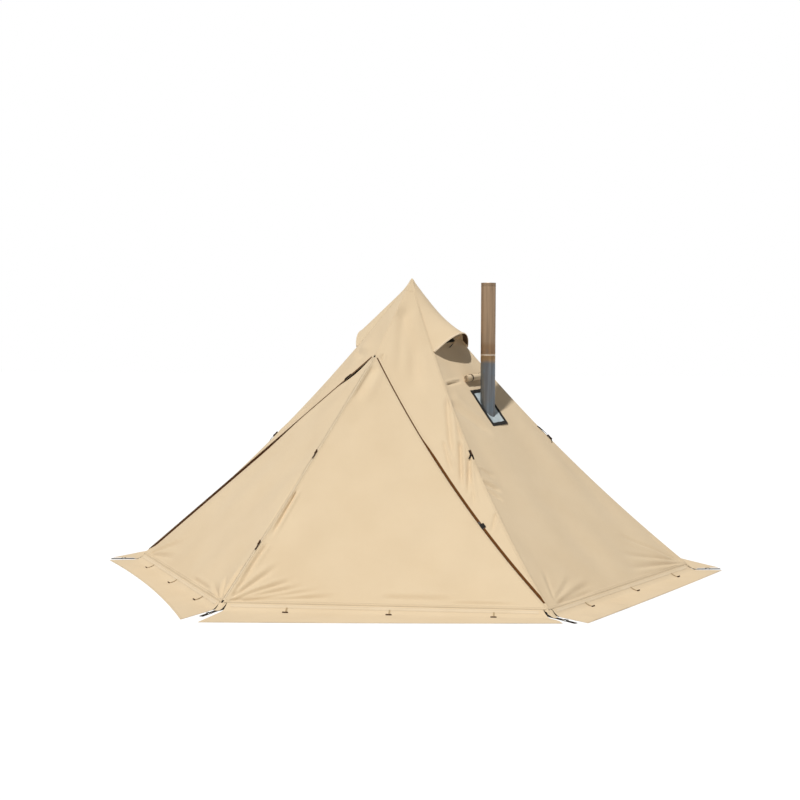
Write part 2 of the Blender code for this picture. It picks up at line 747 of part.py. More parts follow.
def add_zip(name, surface, share):
    """The tape on the fixed side of one door zip and the slider that runs on it."""
    start = surface.flat[1][0] + (ZIP_TAPE_TOP_END if name == "front" else ZIP_TAPE_FOOT_END)
    stop = surface.flat[2][0] - (ZIP_TAPE_FOOT_END if name == "front" else ZIP_TAPE_TOP_END)
    rows = []
    for out in (2 * SEAM_GAP, 2 * SEAM_GAP + ZIP_TAPE_WIDTH):
        count = 2 * WALL_CELLS
        rows.append([Vector((start + (stop - start) * i / count, out)) for i in range(count + 1)])
    lift = CANVAS / 2 + LAY_GAP + ZIP_TAPE_THICKNESS / 2
    quilt(f"zip_tape_{name}", surface, rows, ZIP_TAPE_THICKNESS, "zip", lift)
    width = surface.flat[2][0] - surface.flat[1][0]
    spot = Vector((surface.flat[1][0] + width * share, 2 * SEAM_GAP + ZIP_TAPE_WIDTH / 2))
    across, _ = surface.slopes(spot)
    normal = surface.normal(spot)
    along = square_to(across if name == "front" else -across, normal)
    top = CANVAS / 2 + LAY_GAP + ZIP_TAPE_THICKNESS + SLIDER_GAP
    frame = placed(along, normal.cross(along), normal, surface.point(spot) + normal * top)
    low = Vector((-SLIDER_LENGTH / 2, -SLIDER_WIDTH / 2, 0))
    high = Vector((SLIDER_LENGTH / 2, SLIDER_WIDTH / 2, SLIDER_HEIGHT))
    pivot = zip_arc_centre() if name == "front" else frame @ ORIGIN
    slider = box(f"zip_slider_{name}", low, high, "zip_metal", pivot, frame)
    low = Vector((0, -PULL_WIDTH / 2, SLIDER_HEIGHT / 2))
    high = Vector((SLIDER_LENGTH / 2 + PULL_LENGTH, PULL_WIDTH / 2, SLIDER_HEIGHT / 2 + PULL_THICKNESS))
    joined(slider, box(f"zip_pull_{name}", low, high, "zip_metal", frame=frame))


def add_skirts():
    for wall in WALLS:
        surface = Skirt(wall)
        quilt(f"skirt_{wall}", surface, surface.spots(), CANVAS, "canvas", pivot=surface.edge)
        add_hem_webbing(wall, surface)
    for corner in CORNERS:
        add_corner_strap(corner)


def add_hem_webbing(wall, surface):
    """A strip along the skirt's inner zone, with three short straps that end in toggle bars."""
    inner = HALF_SIDE - WEBBING_END
    breaks = [-inner, inner]
    tongues = []
    for step in (-1, 0, 1):
        middle = TOGGLE_SHIFT + step * TOGGLE_SPACING
        tongues.append(middle)
        breaks += [middle - TOGGLE_STRAP_WIDTH / 2, middle + TOGGLE_STRAP_WIDTH / 2]
    breaks.sort()
    outs = [WEBBING_START, WEBBING_START + WEBBING_WIDTH / 2, WEBBING_START + WEBBING_WIDTH]
    outs += [outs[-1] + TOGGLE_STRAP_LENGTH / 2, outs[-1] + TOGGLE_STRAP_LENGTH]
    rows = [[Vector((x, out)) for x in breaks] for out in outs]
    lift = CANVAS / 2 + LAY_GAP + WEBBING_THICKNESS / 2
    pivot = surface.edge
    name = f"hem_webbing_{wall}"
    strip = quilt(name, surface, rows, WEBBING_THICKNESS, "webbing", lift, lambda i, j: j < 2 or i % 2 == 1, pivot)
    for i, middle in enumerate(tongues):
        rise = CANVAS / 2 + LAY_GAP + TOGGLE_RADIUS
        start = surface.point(Vector((middle - TOGGLE_LENGTH / 2, outs[-1])), rise)
        end = surface.point(Vector((middle + TOGGLE_LENGTH / 2, outs[-1])), rise)
        joined(strip, rod(f"hem_toggle_{wall}_{i}", start, end, TOGGLE_RADIUS, "webbing", steps=10))


def add_corner_strap(corner):
    """The pegging strap: its head lies under the canopy's corner and its tail on the ground between two skirts."""
    place = corner_point(corner)
    tips = []
    for wall, (left, right, _) in WALLS.items():
        if corner in (left, right):
            surface = Skirt(wall)
            tips.append(surface.point(surface.tip(-1 if corner == left else 1)))
    middle = tips[0].lerp(tips[1], 1 / 2) - place
    out = Vector((middle.x, middle.y, 0)).normalized()
    edge = place - UP * (CANVAS / 2 + SEAM_GAP + STRAP_THICKNESS / 2)
    surface = Ground(edge, out, STRAP_THICKNESS, STRAP_DROP_RUN)
    outs = [-STRAP_HEAD] + [STRAP_DROP_RUN * i / SKIRT_DROP_ROWS for i in range(SKIRT_DROP_ROWS + 1)]
    rows = [[Vector((x, out_by)) for x in (-STRAP_WIDTH / 2, STRAP_WIDTH / 2)] for out_by in outs + [STRAP_REACH]]
    quilt(f"corner_strap_{corner}", surface, rows, STRAP_THICKNESS, "webbing")


def add_hip_ties():
    for corner in CORNERS:
        if corner == "front_left":
            continue
        place = hip_point(corner, TIE_SHARE)
        along = PEAK - corner_point(corner) + hip_sag(corner) * (4 - 8 * TIE_SHARE)
        frame = hip_frame(place, along, hip_inward(corner))
        low = Vector((-TIE_WIDTH / 2, -TIE_LENGTH / 2, TIE_GAP))
        high = Vector((TIE_WIDTH / 2, TIE_LENGTH / 2, TIE_GAP + TIE_THICKNESS))
        tie = box(f"hip_tie_{corner}", low, high, "webbing", frame=frame)
        rise = TIE_GAP + TIE_THICKNESS / 2 + TIE_BAR_RADIUS
        start = frame @ Vector((0, -TIE_BAR_LENGTH / 2, rise))
        end = frame @ Vector((0, TIE_BAR_LENGTH / 2, rise))
        joined(tie, rod(f"hip_tie_bar_{corner}", start, end, TIE_BAR_RADIUS, "webbing", steps=10))


def hood_surface(wall, surface):
    lift = CANVAS + LAY_GAP
    share = HOOD_FOOT_SHARE
    left, right, _ = WALLS[wall]
    points = []
    for spot in (surface.spot(1, 0, 0), surface.spot(share, 1 - share, 0), surface.spot(share, 0, 1 - share)):
        points.append(surface.point(spot, lift))
    lip = heading(WALLS[wall][2]) * HOOD_LIP_OUT + UP * HOOD_LIP_UP
    shorter = (1 - share) * (1 - share)
    return Wall(*points, hip_sag(left) * shorter, lip, hip_sag(right) * shorter)


def add_vent(name, wall, surface):
    """The netting in the vent, the hood over it and the prop that holds the hood's lip out."""
    sheet(f"vent_mesh_{name}", surface, vent_outline(surface, SEAM_GAP), MESH_THICKNESS, "mesh", cell=CELL)
    hood = hood_surface(wall, surface)
    rest = 1 - HOOD_TOP_SHARE
    corners = [hood.spot(0, 1, 0), hood.spot(0, 0, 1)]
    corners += [hood.spot(HOOD_TOP_SHARE, 0, rest), hood.spot(HOOD_TOP_SHARE, rest, 0)]
    outline = by_length(inset(corners, (0, HOOD_INSET, 0, HOOD_INSET)), HOOD_CELL)
    sheet(f"vent_hood_{name}", hood, outline, CANVAS, "canvas", cell=HOOD_CELL)
    out = heading(WALLS[wall][2])
    along = UP.cross(out)
    base = surface.point(Vector((0, PROP_BASE_SHARE * surface.height)), CANVAS / 2 + PROP_BASE_GAP)
    lip = hood.point(hood.spot(0, 1 / 2, 1 / 2), -CANVAS / 2)
    reach = lip - base
    upward = reach.normalized()
    frame = placed(along, upward.cross(along), upward, base)
    low = Vector((-PROP_WIDTH / 2, -PROP_THICKNESS / 2, 0))
    high = Vector((PROP_WIDTH / 2, PROP_THICKNESS / 2, reach.length - PROP_GAP))
    box(f"vent_prop_{name}", low, high, "black_plastic", frame @ (UP * PROP_HINGE_RISE), frame)


def chimney_axis():
    """Straight under the place where the chimney leaves through the right wall."""
    middle = RIGHT_WALL.point(Vector((CHIMNEY_SIDE, CHIMNEY_SHARE * RIGHT_WALL.height)))
    return Vector((middle.x, middle.y, 0))


def add_jack():
    """The heatproof patch round the chimney, its border and the rolled flap above them."""
    surface = RIGHT_WALL
    lift = CANVAS / 2 + LAY_GAP + JACK_THICKNESS / 2
    axis = chimney_axis()
    ring = []
    for step in range(ROUND_STEPS):
        rim = axis + heading(360 * step / ROUND_STEPS) * (CHIMNEY_RADIUS + JACK_HOLE_GAP)
        ring.append(surface.under(rim.x, rim.y, lift))
    outline = jack_rectangle(surface, JACK_LAP)
    sheet("jack_patch", surface, outline, JACK_THICKNESS, "heatproof", lift, [ring], JACK_WIDTH / 4)
    higher = lift + JACK_THICKNESS + SEAM_GAP
    hole = jack_rectangle(surface, JACK_BORDER)
    outline = jack_rectangle(surface, 0)
    sheet("jack_border", surface, outline, JACK_THICKNESS, "black_fabric", higher, [hole], JACK_WIDTH / 4)
    ends = []
    height = JACK_SHARE * surface.height + JACK_LENGTH / 2 + ROLL_RISE
    for side in (-1, 1):
        spot = Vector((ROLL_SIDE + side * ROLL_LENGTH / 2, height))
        ends.append(surface.point(spot, CANVAS / 2 + LAY_GAP + ROLL_RADIUS))
    rod("jack_flap_roll", *ends, ROLL_RADIUS, "canvas", steps=20)


def add_peak():
    """The cap over the panels' tops and the two-piece pole with its foot."""
    steep = math.atan2(PEAK_HEIGHT - HEM_HEIGHT, APOTHEM)
    normal = heading(WALLS["back_right"][2]) * math.sin(steep) + UP * math.cos(steep)
    spread = -hip_inward("right").dot(normal)
    lift = CANVAS / 2 + LAY_GAP + CAP_THICKNESS / 2
    build = bmesh.new()
    top = build.verts.new(PEAK + UP * (lift / math.cos(steep)))
    ring = []
    for corner in sorted(CORNERS, key=CORNERS.get):
        ring.append(build.verts.new(hip_point(corner, CAP_FOOT_SHARE, lift / spread)))
    for i in range(len(ring)):
        build.faces.new((top, ring[i], ring[(i + 1) % len(ring)]))
    thick(put("peak_cap", build, "canvas"), CAP_THICKNESS)
    inner = POLE_RADIUS - POLE_WALL
    lathe("pole_lower", tube(POLE_RADIUS, inner, FOOT_FLOOR + SEAM_GAP, POLE_JOINT_HEIGHT - SEAM_GAP), "pole")
    tip = PEAK_HEIGHT + (lift - CAP_THICKNESS / 2) / math.cos(steep) - TIP_GAP
    edge = tip - TIP_RADIUS * TIP_STEEP_SHARE
    shoulder = tip - TIP_LENGTH
    spigot = inner - POLE_FIT
    bore = spigot - POLE_WALL
    foot = POLE_JOINT_HEIGHT - POLE_SPIGOT_LENGTH
    profile = [(bore, foot), (spigot, foot), (spigot, POLE_JOINT_HEIGHT), (POLE_RADIUS, POLE_JOINT_HEIGHT)]
    profile += [(POLE_RADIUS, shoulder), (TIP_RADIUS, shoulder + POLE_RADIUS - TIP_RADIUS)]
    profile += [(TIP_RADIUS, edge), (0, tip), (0, shoulder - TIP_RADIUS), (bore, shoulder - TIP_RADIUS)]
    lathe("pole_upper", profile, "pole")
    cup = POLE_RADIUS + SEAM_GAP
    profile = [(0, 0), (FOOT_RADIUS, 0), (cup + POLE_WALL, FOOT_HEIGHT), (cup, FOOT_HEIGHT)]
    lathe("pole_foot", profile + [(cup, FOOT_FLOOR), (0, FOOT_FLOOR)], "rubber")


def chimney_section(name, low, high, place):
    """A tube whose necked lower end sits in the one below."""
    bore = CHIMNEY_RADIUS - CHIMNEY_WALL
    neck = bore - CHIMNEY_FIT
    inner = neck - CHIMNEY_WALL
    top = high - SEAM_GAP
    profile = [(inner, low - CHIMNEY_SPIGOT), (neck, low - CHIMNEY_SPIGOT), (neck, low), (CHIMNEY_RADIUS, low)]
    profile += [(CHIMNEY_RADIUS, top), (bore, top), (bore, low + CHIMNEY_WALL), (inner, low + CHIMNEY_WALL)]
    return lathe(name, profile, "chimney", place)


def add_chimney():
    axis = chimney_axis()
    place = Matrix.Translation(axis)
    collar_top = STOVE_LEG_HEIGHT + STOVE_HEIGHT + COLLAR_HEIGHT
    lower = chimney_section("chimney_lower", collar_top + SEAM_GAP, CHIMNEY_LOWER_JOINT, place)
    chimney_section("chimney_middle", CHIMNEY_LOWER_JOINT, CHIMNEY_UPPER_JOINT, place)
    chimney_section("chimney_upper", CHIMNEY_UPPER_JOINT, CHIMNEY_TOP, place)
    pivot = axis + UP * (collar_top + DAMPER_RISE)
    across = Vector((1, 0, 0))
    outer = CHIMNEY_RADIUS + OVERRUN
    hole = SPINDLE_RADIUS + SPINDLE_GAP
    cut(lower, rod("spindle_hole", pivot - across * outer, pivot + across * outer, hole, "steel"))
    face = Vector((0, DAMPER_THICKNESS / 2, 0))
    radius = CHIMNEY_RADIUS - CHIMNEY_WALL - DAMPER_EDGE_GAP
    plate = rod("damper", pivot - face, pivot + face, radius, "steel", pivot, ROUND_STEPS)
    reach = CHIMNEY_RADIUS + SPINDLE_OUT
    spindle = rod("damper_spindle", pivot - across * (CHIMNEY_RADIUS + SPINDLE_RADIUS), pivot + across * reach,
                  SPINDLE_RADIUS, "steel")
    rise = UP * HANDLE_LENGTH / 2
    tip = pivot + across * (reach - SPINDLE_RADIUS)
    joined(plate, spindle, rod("damper_handle", tip - rise, tip + rise, HANDLE_RADIUS, "steel"))


def add_stove():
    """The fire box with its collar, door, latch, air slide and folding legs. Spots are from under the flue."""
    axis = chimney_axis()
    place = Matrix.Translation(axis)
    half = STOVE_WIDTH / 2
    front = STOVE_BEHIND_FLUE - STOVE_LENGTH
    floor = STOVE_LEG_HEIGHT
    roof = floor + STOVE_HEIGHT
    wall = STOVE_WALL
    body = box("stove_body", (-half, front, floor), (half, STOVE_BEHIND_FLUE, roof), "stove", frame=place)
    collar = [(0, roof - wall / 2), (CHIMNEY_RADIUS, roof - wall / 2), (CHIMNEY_RADIUS, roof + COLLAR_HEIGHT)]
    joined(body, lathe("stove_collar", collar + [(0, roof + COLLAR_HEIGHT)], "stove", place))
    hinge_x = -DOOR_WIDTH / 2
    hinge_y = front - DOOR_GAP - BARREL_RADIUS
    door_low = floor + DOOR_RISE
    door_high = door_low + DOOR_HEIGHT
    for name, low in (("low", door_low - LUG_HEIGHT - DOOR_GAP), ("high", door_high + DOOR_GAP)):
        lug = (hinge_x - BARREL_RADIUS, hinge_y - BARREL_RADIUS, low)
        end = (hinge_x + BARREL_RADIUS, front + wall / 2, low + LUG_HEIGHT)
        joined(body, box(f"stove_lug_{name}", lug, end, "stove", frame=place))
    rear_y = STOVE_BEHIND_FLUE - LEG_INSET
    rear_z = floor - LEG_DROP - LEG_NEST
    for side in (-1, 1):
        x = side * (half - 2 * LEG_INSET)
        low = (x - LEG_RADIUS, rear_y - LEG_RADIUS, rear_z + LEG_RADIUS + SEAM_GAP)
        end = (x + LEG_RADIUS, rear_y + LEG_RADIUS, floor + wall / 2)
        joined(body, box(f"stove_bracket_{side + 1}", low, end, "stove", frame=place))
    inner = half - wall
    hollow = (inner, STOVE_BEHIND_FLUE - wall, roof - wall)
    lap = DOOR_LAP
    bore = CHIMNEY_RADIUS - CHIMNEY_WALL
    cut(
        body,
        box("stove_hollow", (-inner, front + wall, floor + wall), hollow, "stove", frame=place),
        box("stove_mouth", (hinge_x + lap, front - OVERRUN, door_low + lap),
            (-hinge_x - lap, front + OVERRUN, door_high - lap), "stove", frame=place),
        rod("stove_flue", axis + UP * (roof - OVERRUN), axis + UP * (roof + COLLAR_HEIGHT + OVERRUN), bore, "stove",
            steps=ROUND_STEPS),
    )
    pivot = place @ Vector((hinge_x, hinge_y, door_low + DOOR_HEIGHT / 2))
    plate_front = front - DOOR_GAP - DOOR_PLATE
    door = box("stove_door", (hinge_x, plate_front, door_low), (-hinge_x, front - DOOR_GAP, door_high), "stove",
               pivot, place)
    barrel_low = place @ Vector((hinge_x, hinge_y, door_low))
    barrel_high = place @ Vector((hinge_x, hinge_y, door_high))
    joined(door, rod("stove_door_barrel", barrel_low, barrel_high, BARREL_RADIUS, "stove"))
    add_air_slide(door, place, plate_front, door_low)
    add_latch(place, plate_front, -hinge_x, door_low + DOOR_HEIGHT / 2)
    add_legs("front", place, front + LEG_INSET, floor - LEG_DROP, half - LEG_INSET)
    add_legs("rear", place, rear_y, rear_z, half - 2 * LEG_INSET)


def slots(name, place, low, behind):
    made = []
    for step in range(SLOT_COUNT):
        x = (step - (SLOT_COUNT - 1) / 2) * SLOT_PITCH
        corner = (x - SLOT_WIDTH / 2, behind - OVERRUN, low)
        end = (x + SLOT_WIDTH / 2, behind + OVERRUN, low + SLOT_HEIGHT)
        made.append(box(f"{name}_{step}", corner, end, "stove", frame=place))
    return made


def add_air_slide(door, place, plate_front, door_low):
    low = door_low + SLOT_RISE
    cut(door, *slots("door_slot", place, low, plate_front))
    half = (SLOT_COUNT - 1) / 2 * SLOT_PITCH + SLOT_WIDTH / 2 + SLIDE_MARGIN
    back = plate_front - SLIDE_GAP
    corner = (-half, back - SLIDE_THICKNESS, low - SLIDE_MARGIN)
    end = (half, back, low + SLOT_HEIGHT + SLIDE_MARGIN)
    slide = box("stove_air_slide", corner, end, "steel", place @ Vector((0, back, low)), place)
    tab = (half - SLIDE_THICKNESS * 2, back - SLIDE_TAB, low)
    joined(slide, box("air_slide_tab", tab, (half - SLIDE_THICKNESS, back, low + SLOT_HEIGHT), "steel", frame=place))
    cut(slide, *slots("slide_slot", place, low, plate_front))


def add_latch(place, plate_front, door_edge, height):
    """The lever pivots on the door and its end passes in front of the stove's face."""
    back = plate_front - SLIDE_GAP
    x = door_edge - LATCH_WIDTH
    corner = (x - LATCH_WIDTH / 2, back - LATCH_THICKNESS, height - LATCH_WIDTH / 2)
    end = (x + LATCH_LENGTH, back, height + LATCH_WIDTH / 2)
    latch = box("stove_latch", corner, end, "steel", place @ Vector((x, back, height)), place)
    start = place @ Vector((x, back - LATCH_THICKNESS / 2, height))
    knob = start - Vector((0, LATCH_KNOB_LENGTH, 0))
    joined(latch, rod("stove_latch_knob", start, knob, LATCH_KNOB_RADIUS, "steel"))


def add_legs(name, place, y, z, half):
    """A frame of rod: an axle under the stove, two legs and a bar on the ground."""
    pivot = place @ Vector((0, y, z))
    foot = GROUND_GAP + LEG_RADIUS
    spots = [place @ Vector(spot) for spot in ((-half, y, z), (half, y, z), (half, y, foot), (-half, y, foot))]
    reach = Vector((LEG_RADIUS, 0, 0))
    legs = rod(f"stove_legs_{name}", spots[0] - reach, spots[1] + reach, LEG_RADIUS, "steel", pivot, 12)
    bar = rod(f"leg_bar_{name}", spots[3] - reach, spots[2] + reach, LEG_RADIUS, "steel", steps=12)
    left = rod(f"leg_left_{name}", spots[0], spots[3], LEG_RADIUS * LEG_SHARE, "steel", steps=12)
    right = rod(f"leg_right_{name}", spots[1], spots[2], LEG_RADIUS * LEG_SHARE, "steel", steps=12)
    joined(legs, left, right, bar)


def main():
    for old in list(bpy.data.objects):
        bpy.data.objects.remove(old, do_unlink=True)
    add_canopy()
    add_door()
    add_skirts()
    add_hip_ties()
    add_vent("right", "right", RIGHT_WALL)
    add_vent("left", "back_left", BACK_LEFT_WALL)
    add_jack()
    add_peak()
    add_chimney()
    add_stove()


main()
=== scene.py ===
"""Hot tent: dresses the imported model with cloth, trim and finishes, and sets the light and the camera.

Metres, +Z up. The origin is on the ground under the peak, and the front wall faces -Y.
"""

import math
from functools import partial

import bmesh
import bpy
import numpy as np
from mathutils import Matrix, Vector


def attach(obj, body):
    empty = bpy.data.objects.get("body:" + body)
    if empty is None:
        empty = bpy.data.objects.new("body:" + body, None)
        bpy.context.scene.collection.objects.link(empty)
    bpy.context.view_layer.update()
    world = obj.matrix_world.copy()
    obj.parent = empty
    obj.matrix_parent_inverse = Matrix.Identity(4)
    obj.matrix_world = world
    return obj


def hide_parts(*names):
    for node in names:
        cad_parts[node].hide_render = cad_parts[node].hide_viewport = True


bl_info = {
    "name": "Hot tent",
    "version": (1, 0, 0),
    "blender": (4, 5, 0),
    "location": "3D View > Sidebar > Hot tent",
    "description": "Dresses a hexagonal canvas tent with its door, vents, skirts, stove and chimney",
    "category": "Object",
}

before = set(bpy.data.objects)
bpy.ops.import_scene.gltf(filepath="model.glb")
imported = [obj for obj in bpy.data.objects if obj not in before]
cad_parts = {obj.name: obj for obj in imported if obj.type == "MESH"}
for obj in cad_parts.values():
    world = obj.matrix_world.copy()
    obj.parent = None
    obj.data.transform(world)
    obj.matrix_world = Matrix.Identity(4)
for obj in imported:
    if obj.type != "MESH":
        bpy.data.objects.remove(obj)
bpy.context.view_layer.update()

# Walls
CORNER_RADIUS = 2.0
PEAK_HEIGHT = 2.08
HEM_HEIGHT = 0.04
HIP_SAG = 0.085
FRONT_RIGHT_HIP_SAG = 0.15
PANEL_TOP_SHARE = 0.985
CAP_FOOT_SHARE = 0.962
CANVAS = 0.0012
LAY_GAP = 0.0008
CORNERS = {"front_left": 240, "front_right": 300, "right": 0, "back_right": 60, "back_left": 120, "left": 180}
WALLS = {
    "front": ("front_left", "front_right", 270),
    "right": ("front_right", "right", 330),
    "back_right": ("right", "back_right", 30),
    "back": ("back_right", "back_left", 90),
    "back_left": ("back_left", "left", 150),
    "left": ("left", "front_left", 210),
}

# Door
DOOR_TOP_SHARE = 0.756
DOOR_TOP_INSET = 0.065
DOOR_HIP_SAG = 0.012
FRONT_ZIP_SAG = 0.105
ZIP_LEAN_SHARE = 0.14
LEAF_HIP_INSET = 0.008
DOOR_TOGGLE_SHARES = (0.22, 0.58)

UP = np.array((0.0, 0.0, 1.0))
ORIGIN = np.zeros(3)
PEAK = UP * PEAK_HEIGHT
HALF_SIDE = CORNER_RADIUS / 2
APOTHEM = CORNER_RADIUS * math.cos(math.pi / 6)


def heading(degrees):
    return np.array((math.cos(math.radians(degrees)), math.sin(math.radians(degrees)), 0.0))


def unit(vector):
    return vector / np.linalg.norm(vector, axis=-1, keepdims=True)


def corner_point(corner):
    return heading(CORNERS[corner]) * CORNER_RADIUS + UP * HEM_HEIGHT


def hip_inward(corner):
    """Square to the straight hip, in its own upright plane, and pointing into the tent."""
    along = unit(PEAK - corner_point(corner))
    return unit(np.cross(along, np.cross(UP, heading(CORNERS[corner]))))


def hip_sag(corner):
    return hip_inward(corner) * (FRONT_RIGHT_HIP_SAG if corner == "front_right" else HIP_SAG)


def square_to(vector, along):
    along = unit(along)
    return unit(vector - along * (vector @ along))


def paired(first, second):
    """Two rows of numbers as one row of flat spots."""
    return np.stack((first, second), axis=1)


def smooth(share):
    share = np.clip(share, 0.0, 1.0)
    return share * share * (3 - 2 * share)


class Wall:
    """Canvas over a triangle of top, left and right corners. A sag is how far an edge's middle hangs in."""

    def __init__(self, top, left, right, left_sag=ORIGIN, foot_sag=ORIGIN, right_sag=ORIGIN):
        self.corners = np.array((top, left, right))
        self.sags = np.array((left_sag, foot_sag, right_sag))
        foot = right - left
        self.width = float(np.linalg.norm(foot))
        reach = float((top - left) @ foot) / self.width
        self.height = math.sqrt(float((top - left) @ (top - left)) - reach * reach)
        self.flat = np.array(((0.0, self.height), (-reach, 0.0), (self.width - reach, 0.0)))

    def spot(self, top, left, right):
        return np.array((top, left, right)) @ self.flat

    def shares(self, spots):
        top = spots[:, 1] / self.height
        right = (spots[:, 0] - self.flat[1, 0] * (1 - top)) / self.width
        return np.stack((top, 1 - top - right, right), axis=1)

    def slopes(self, spots):
        shares = self.shares(spots)
        rates = []
        for i in range(3):
            follower = (i + 1) % 3
            leader = (i + 2) % 3
            rate = self.corners[i] + 4 * shares[:, [follower]] * self.sags[i]
            rates.append(rate + 4 * shares[:, [leader]] * self.sags[leader])
        across = (rates[2] - rates[1]) / self.width
        right_rate = self.flat[1, 0] / (self.height * self.width)
        up = rates[0] / self.height + rates[2] * right_rate - rates[1] * (1 / self.height + right_rate)
        return across, up

    def normals(self, spots):
        across, up = self.slopes(spots)
        return unit(np.cross(across, up))

    def place(self, spots, lift=0.0):
        spots = np.atleast_2d(spots)
        shares = self.shares(spots)
        points = shares @ self.corners
        for i in range(3):
            points = points + (4 * shares[:, i] * shares[:, (i + 1) % 3])[:, None] * self.sags[i]
        return points + self.normals(spots) * np.broadcast_to(lift, len(spots))[:, None]

    def frame(self, spot, lift=0.0, turn=0.0):
        """X across the cloth, Y up it and Z out of it, at one spot."""
        spots = np.atleast_2d(spot)
        across, _ = self.slopes(spots)
        z_axis = Vector(self.normals(spots)[0])
        x_axis = Vector(unit(across)[0])
        x_axis.rotate(Matrix.Rotation(turn, 3, z_axis))
        return placed(x_axis, z_axis.cross(x_axis), z_axis, Vector(self.place(spots, lift)[0]))

    def under(self, x, y, lift=0.0):
        """The flat spot whose point is straight over x, y."""
        spot = self.spot(1 / 3, 1 / 3, 1 / 3)
        for _ in range(20):
            miss = np.array((x, y)) - self.place(spot, lift)[0][:2]
            across, up = self.slopes(spot[None, :])
            spot = spot + np.linalg.solve(np.stack((across[0][:2], up[0][:2]), axis=1), miss)
        return spot


def placed(x_axis, y_axis, z_axis, place):
    """The frame with these axes at this place."""
    turn = Matrix((x_axis, y_axis, z_axis)).transposed().to_4x4()
    return Matrix.Translation(place) @ turn


def whole_wall(wall):
    left, right, _ = WALLS[wall]
    return Wall(PEAK, corner_point(left), corner_point(right), hip_sag(left), ORIGIN, hip_sag(right))


FRONT_LEFT = corner_point("front_left")
FRONT_RIGHT = corner_point("front_right")
LEFT = corner_point("left")
DOOR_TOP = FRONT_LEFT + (PEAK - FRONT_LEFT) * DOOR_TOP_SHARE + hip_inward("front_left") * DOOR_TOP_INSET
DOOR_SAG = hip_inward("front_left") * DOOR_HIP_SAG
ZIP_LEAN = hip_inward("front_right") - hip_inward("front_left") * ZIP_LEAN_SHARE
ZIP_SAG = square_to(ZIP_LEAN, FRONT_RIGHT - DOOR_TOP) * FRONT_ZIP_SAG
FRONT_UPPER = Wall(PEAK, DOOR_TOP, FRONT_RIGHT, ORIGIN, ZIP_SAG, hip_sag("front_right"))
LEFT_UPPER = Wall(PEAK, LEFT, DOOR_TOP, hip_sag("left"), ORIGIN, ORIGIN)
LEAF_FRONT = Wall(DOOR_TOP, FRONT_LEFT, FRONT_RIGHT, DOOR_SAG, ORIGIN, ZIP_SAG)
LEAF_LEFT = Wall(DOOR_TOP, LEFT, FRONT_LEFT, ORIGIN, ORIGIN, DOOR_SAG)
RIGHT_WALL = whole_wall("right")
BACK_LEFT_WALL = whole_wall("back_left")

# Finishes

SMOOTH = {"interpolation_type": "SMOOTHSTEP"}
GRAIN = 0.55
# The canvas's threads and the netting's holes are drawn about twice as coarse as their own, so that they hold
# up close by. The glass cloth and the webbing are drawn at their own pitch.
CANVAS_PITCH = 0.0011
NETTING_PITCH = 0.003
GLASS_PITCH = 0.002
RIB_PITCH = 0.0014
STITCH_ROWS = (0.0035, 0.0105)
STITCH_PITCH = 0.0045
STITCH_WIDTH = 0.0009
STITCH_SHARE = 0.68


def linear(hexadecimal):
    """An sRGB hex colour as linear red, green, blue and one."""
    parts = [int(hexadecimal[i:i + 2], 16) / 255 for i in (0, 2, 4)]
    return (*[c / 12.92 if c <= 0.04045 else ((c + 0.055) / 1.055) ** 2.4 for c in parts], 1.0)


def fill(made, inputs):
    """Sets each of a node's inputs to a value, or links it to another node's output."""
    for key, value in inputs.items():
        for place, socket in enumerate(made.inputs):
            if key in (place, socket.identifier, socket.name.replace(" ", "_")):
                break
        else:
            raise KeyError(key)
        if isinstance(value, bpy.types.NodeSocket):
            made.id_data.links.new(value, socket)
        else:
            socket.default_value = value


def add_node(tree, kind, *values, output=0, **more):
    """A new node's output. A kind in capitals is a Math node's operation. Values fill the node's inputs in
    order, capitalised names fill the others, and names in small letters are its settings."""
    if kind.isupper():
        kind, more = "Math", {"operation": kind}
    made = tree.nodes.new("ShaderNode" + kind)
    inputs = dict(enumerate(values))
    for key, value in more.items():
        if key[0].isupper():
            inputs[key] = value
        else:
            setattr(made, key, value)
    fill(made, inputs)
    return made.outputs[output]


def new_material(name):
    """A node material, and what adds nodes to it."""
    made = bpy.data.materials.new(name)
    made.use_nodes = True
    return made, partial(add_node, made.node_tree)


def shaded(made, **inputs):
    """The material with these inputs on its principled shader."""
    fill(made.node_tree.nodes["Principled BSDF"], inputs)
    return made


def tinted(add, base, tone, mask, weight=1.0):
    """The base colour with the tone over it where the mask is, at this weight."""
    share = add("MULTIPLY", mask, weight)
    return add("Mix", share, data_type="RGBA", output=2, A_Color=base, B_Color=tone)


def waves(add, run, pitch):
    """A sine along the run, with its zeros one pitch apart."""
    return add("SINE", add("MULTIPLY", run, math.pi / pitch))


def halved(add, wave):
    """A wave between minus one and one, moved to between zero and one."""
    return add("MULTIPLY_ADD", wave, 0.5, 0.5)


def weave(add, uv, pitch):
    """Over and under threads of one pitch, from zero to one."""
    across, along = [waves(add, add("SeparateXYZ", uv, output=i), pitch) for i in (0, 1)]
    return halved(add, add("MULTIPLY", across, along))


def stitches(add):
    """One on the sewing thread: two rows run beside a seam."""
    uv = add("UVMap", uv_map="seam")
    beside, along = [add("SeparateXYZ", uv, output=i) for i in (0, 1)]
    rows = [add("ABSOLUTE", add("SUBTRACT", beside, row)) for row in STITCH_ROWS]
    line = add("LESS_THAN", add("MINIMUM", *rows), STITCH_WIDTH / 2)
    dash = add("LESS_THAN", add("FRACT", add("DIVIDE", along, STITCH_PITCH)), STITCH_SHARE)
    return add("MULTIPLY", line, dash)


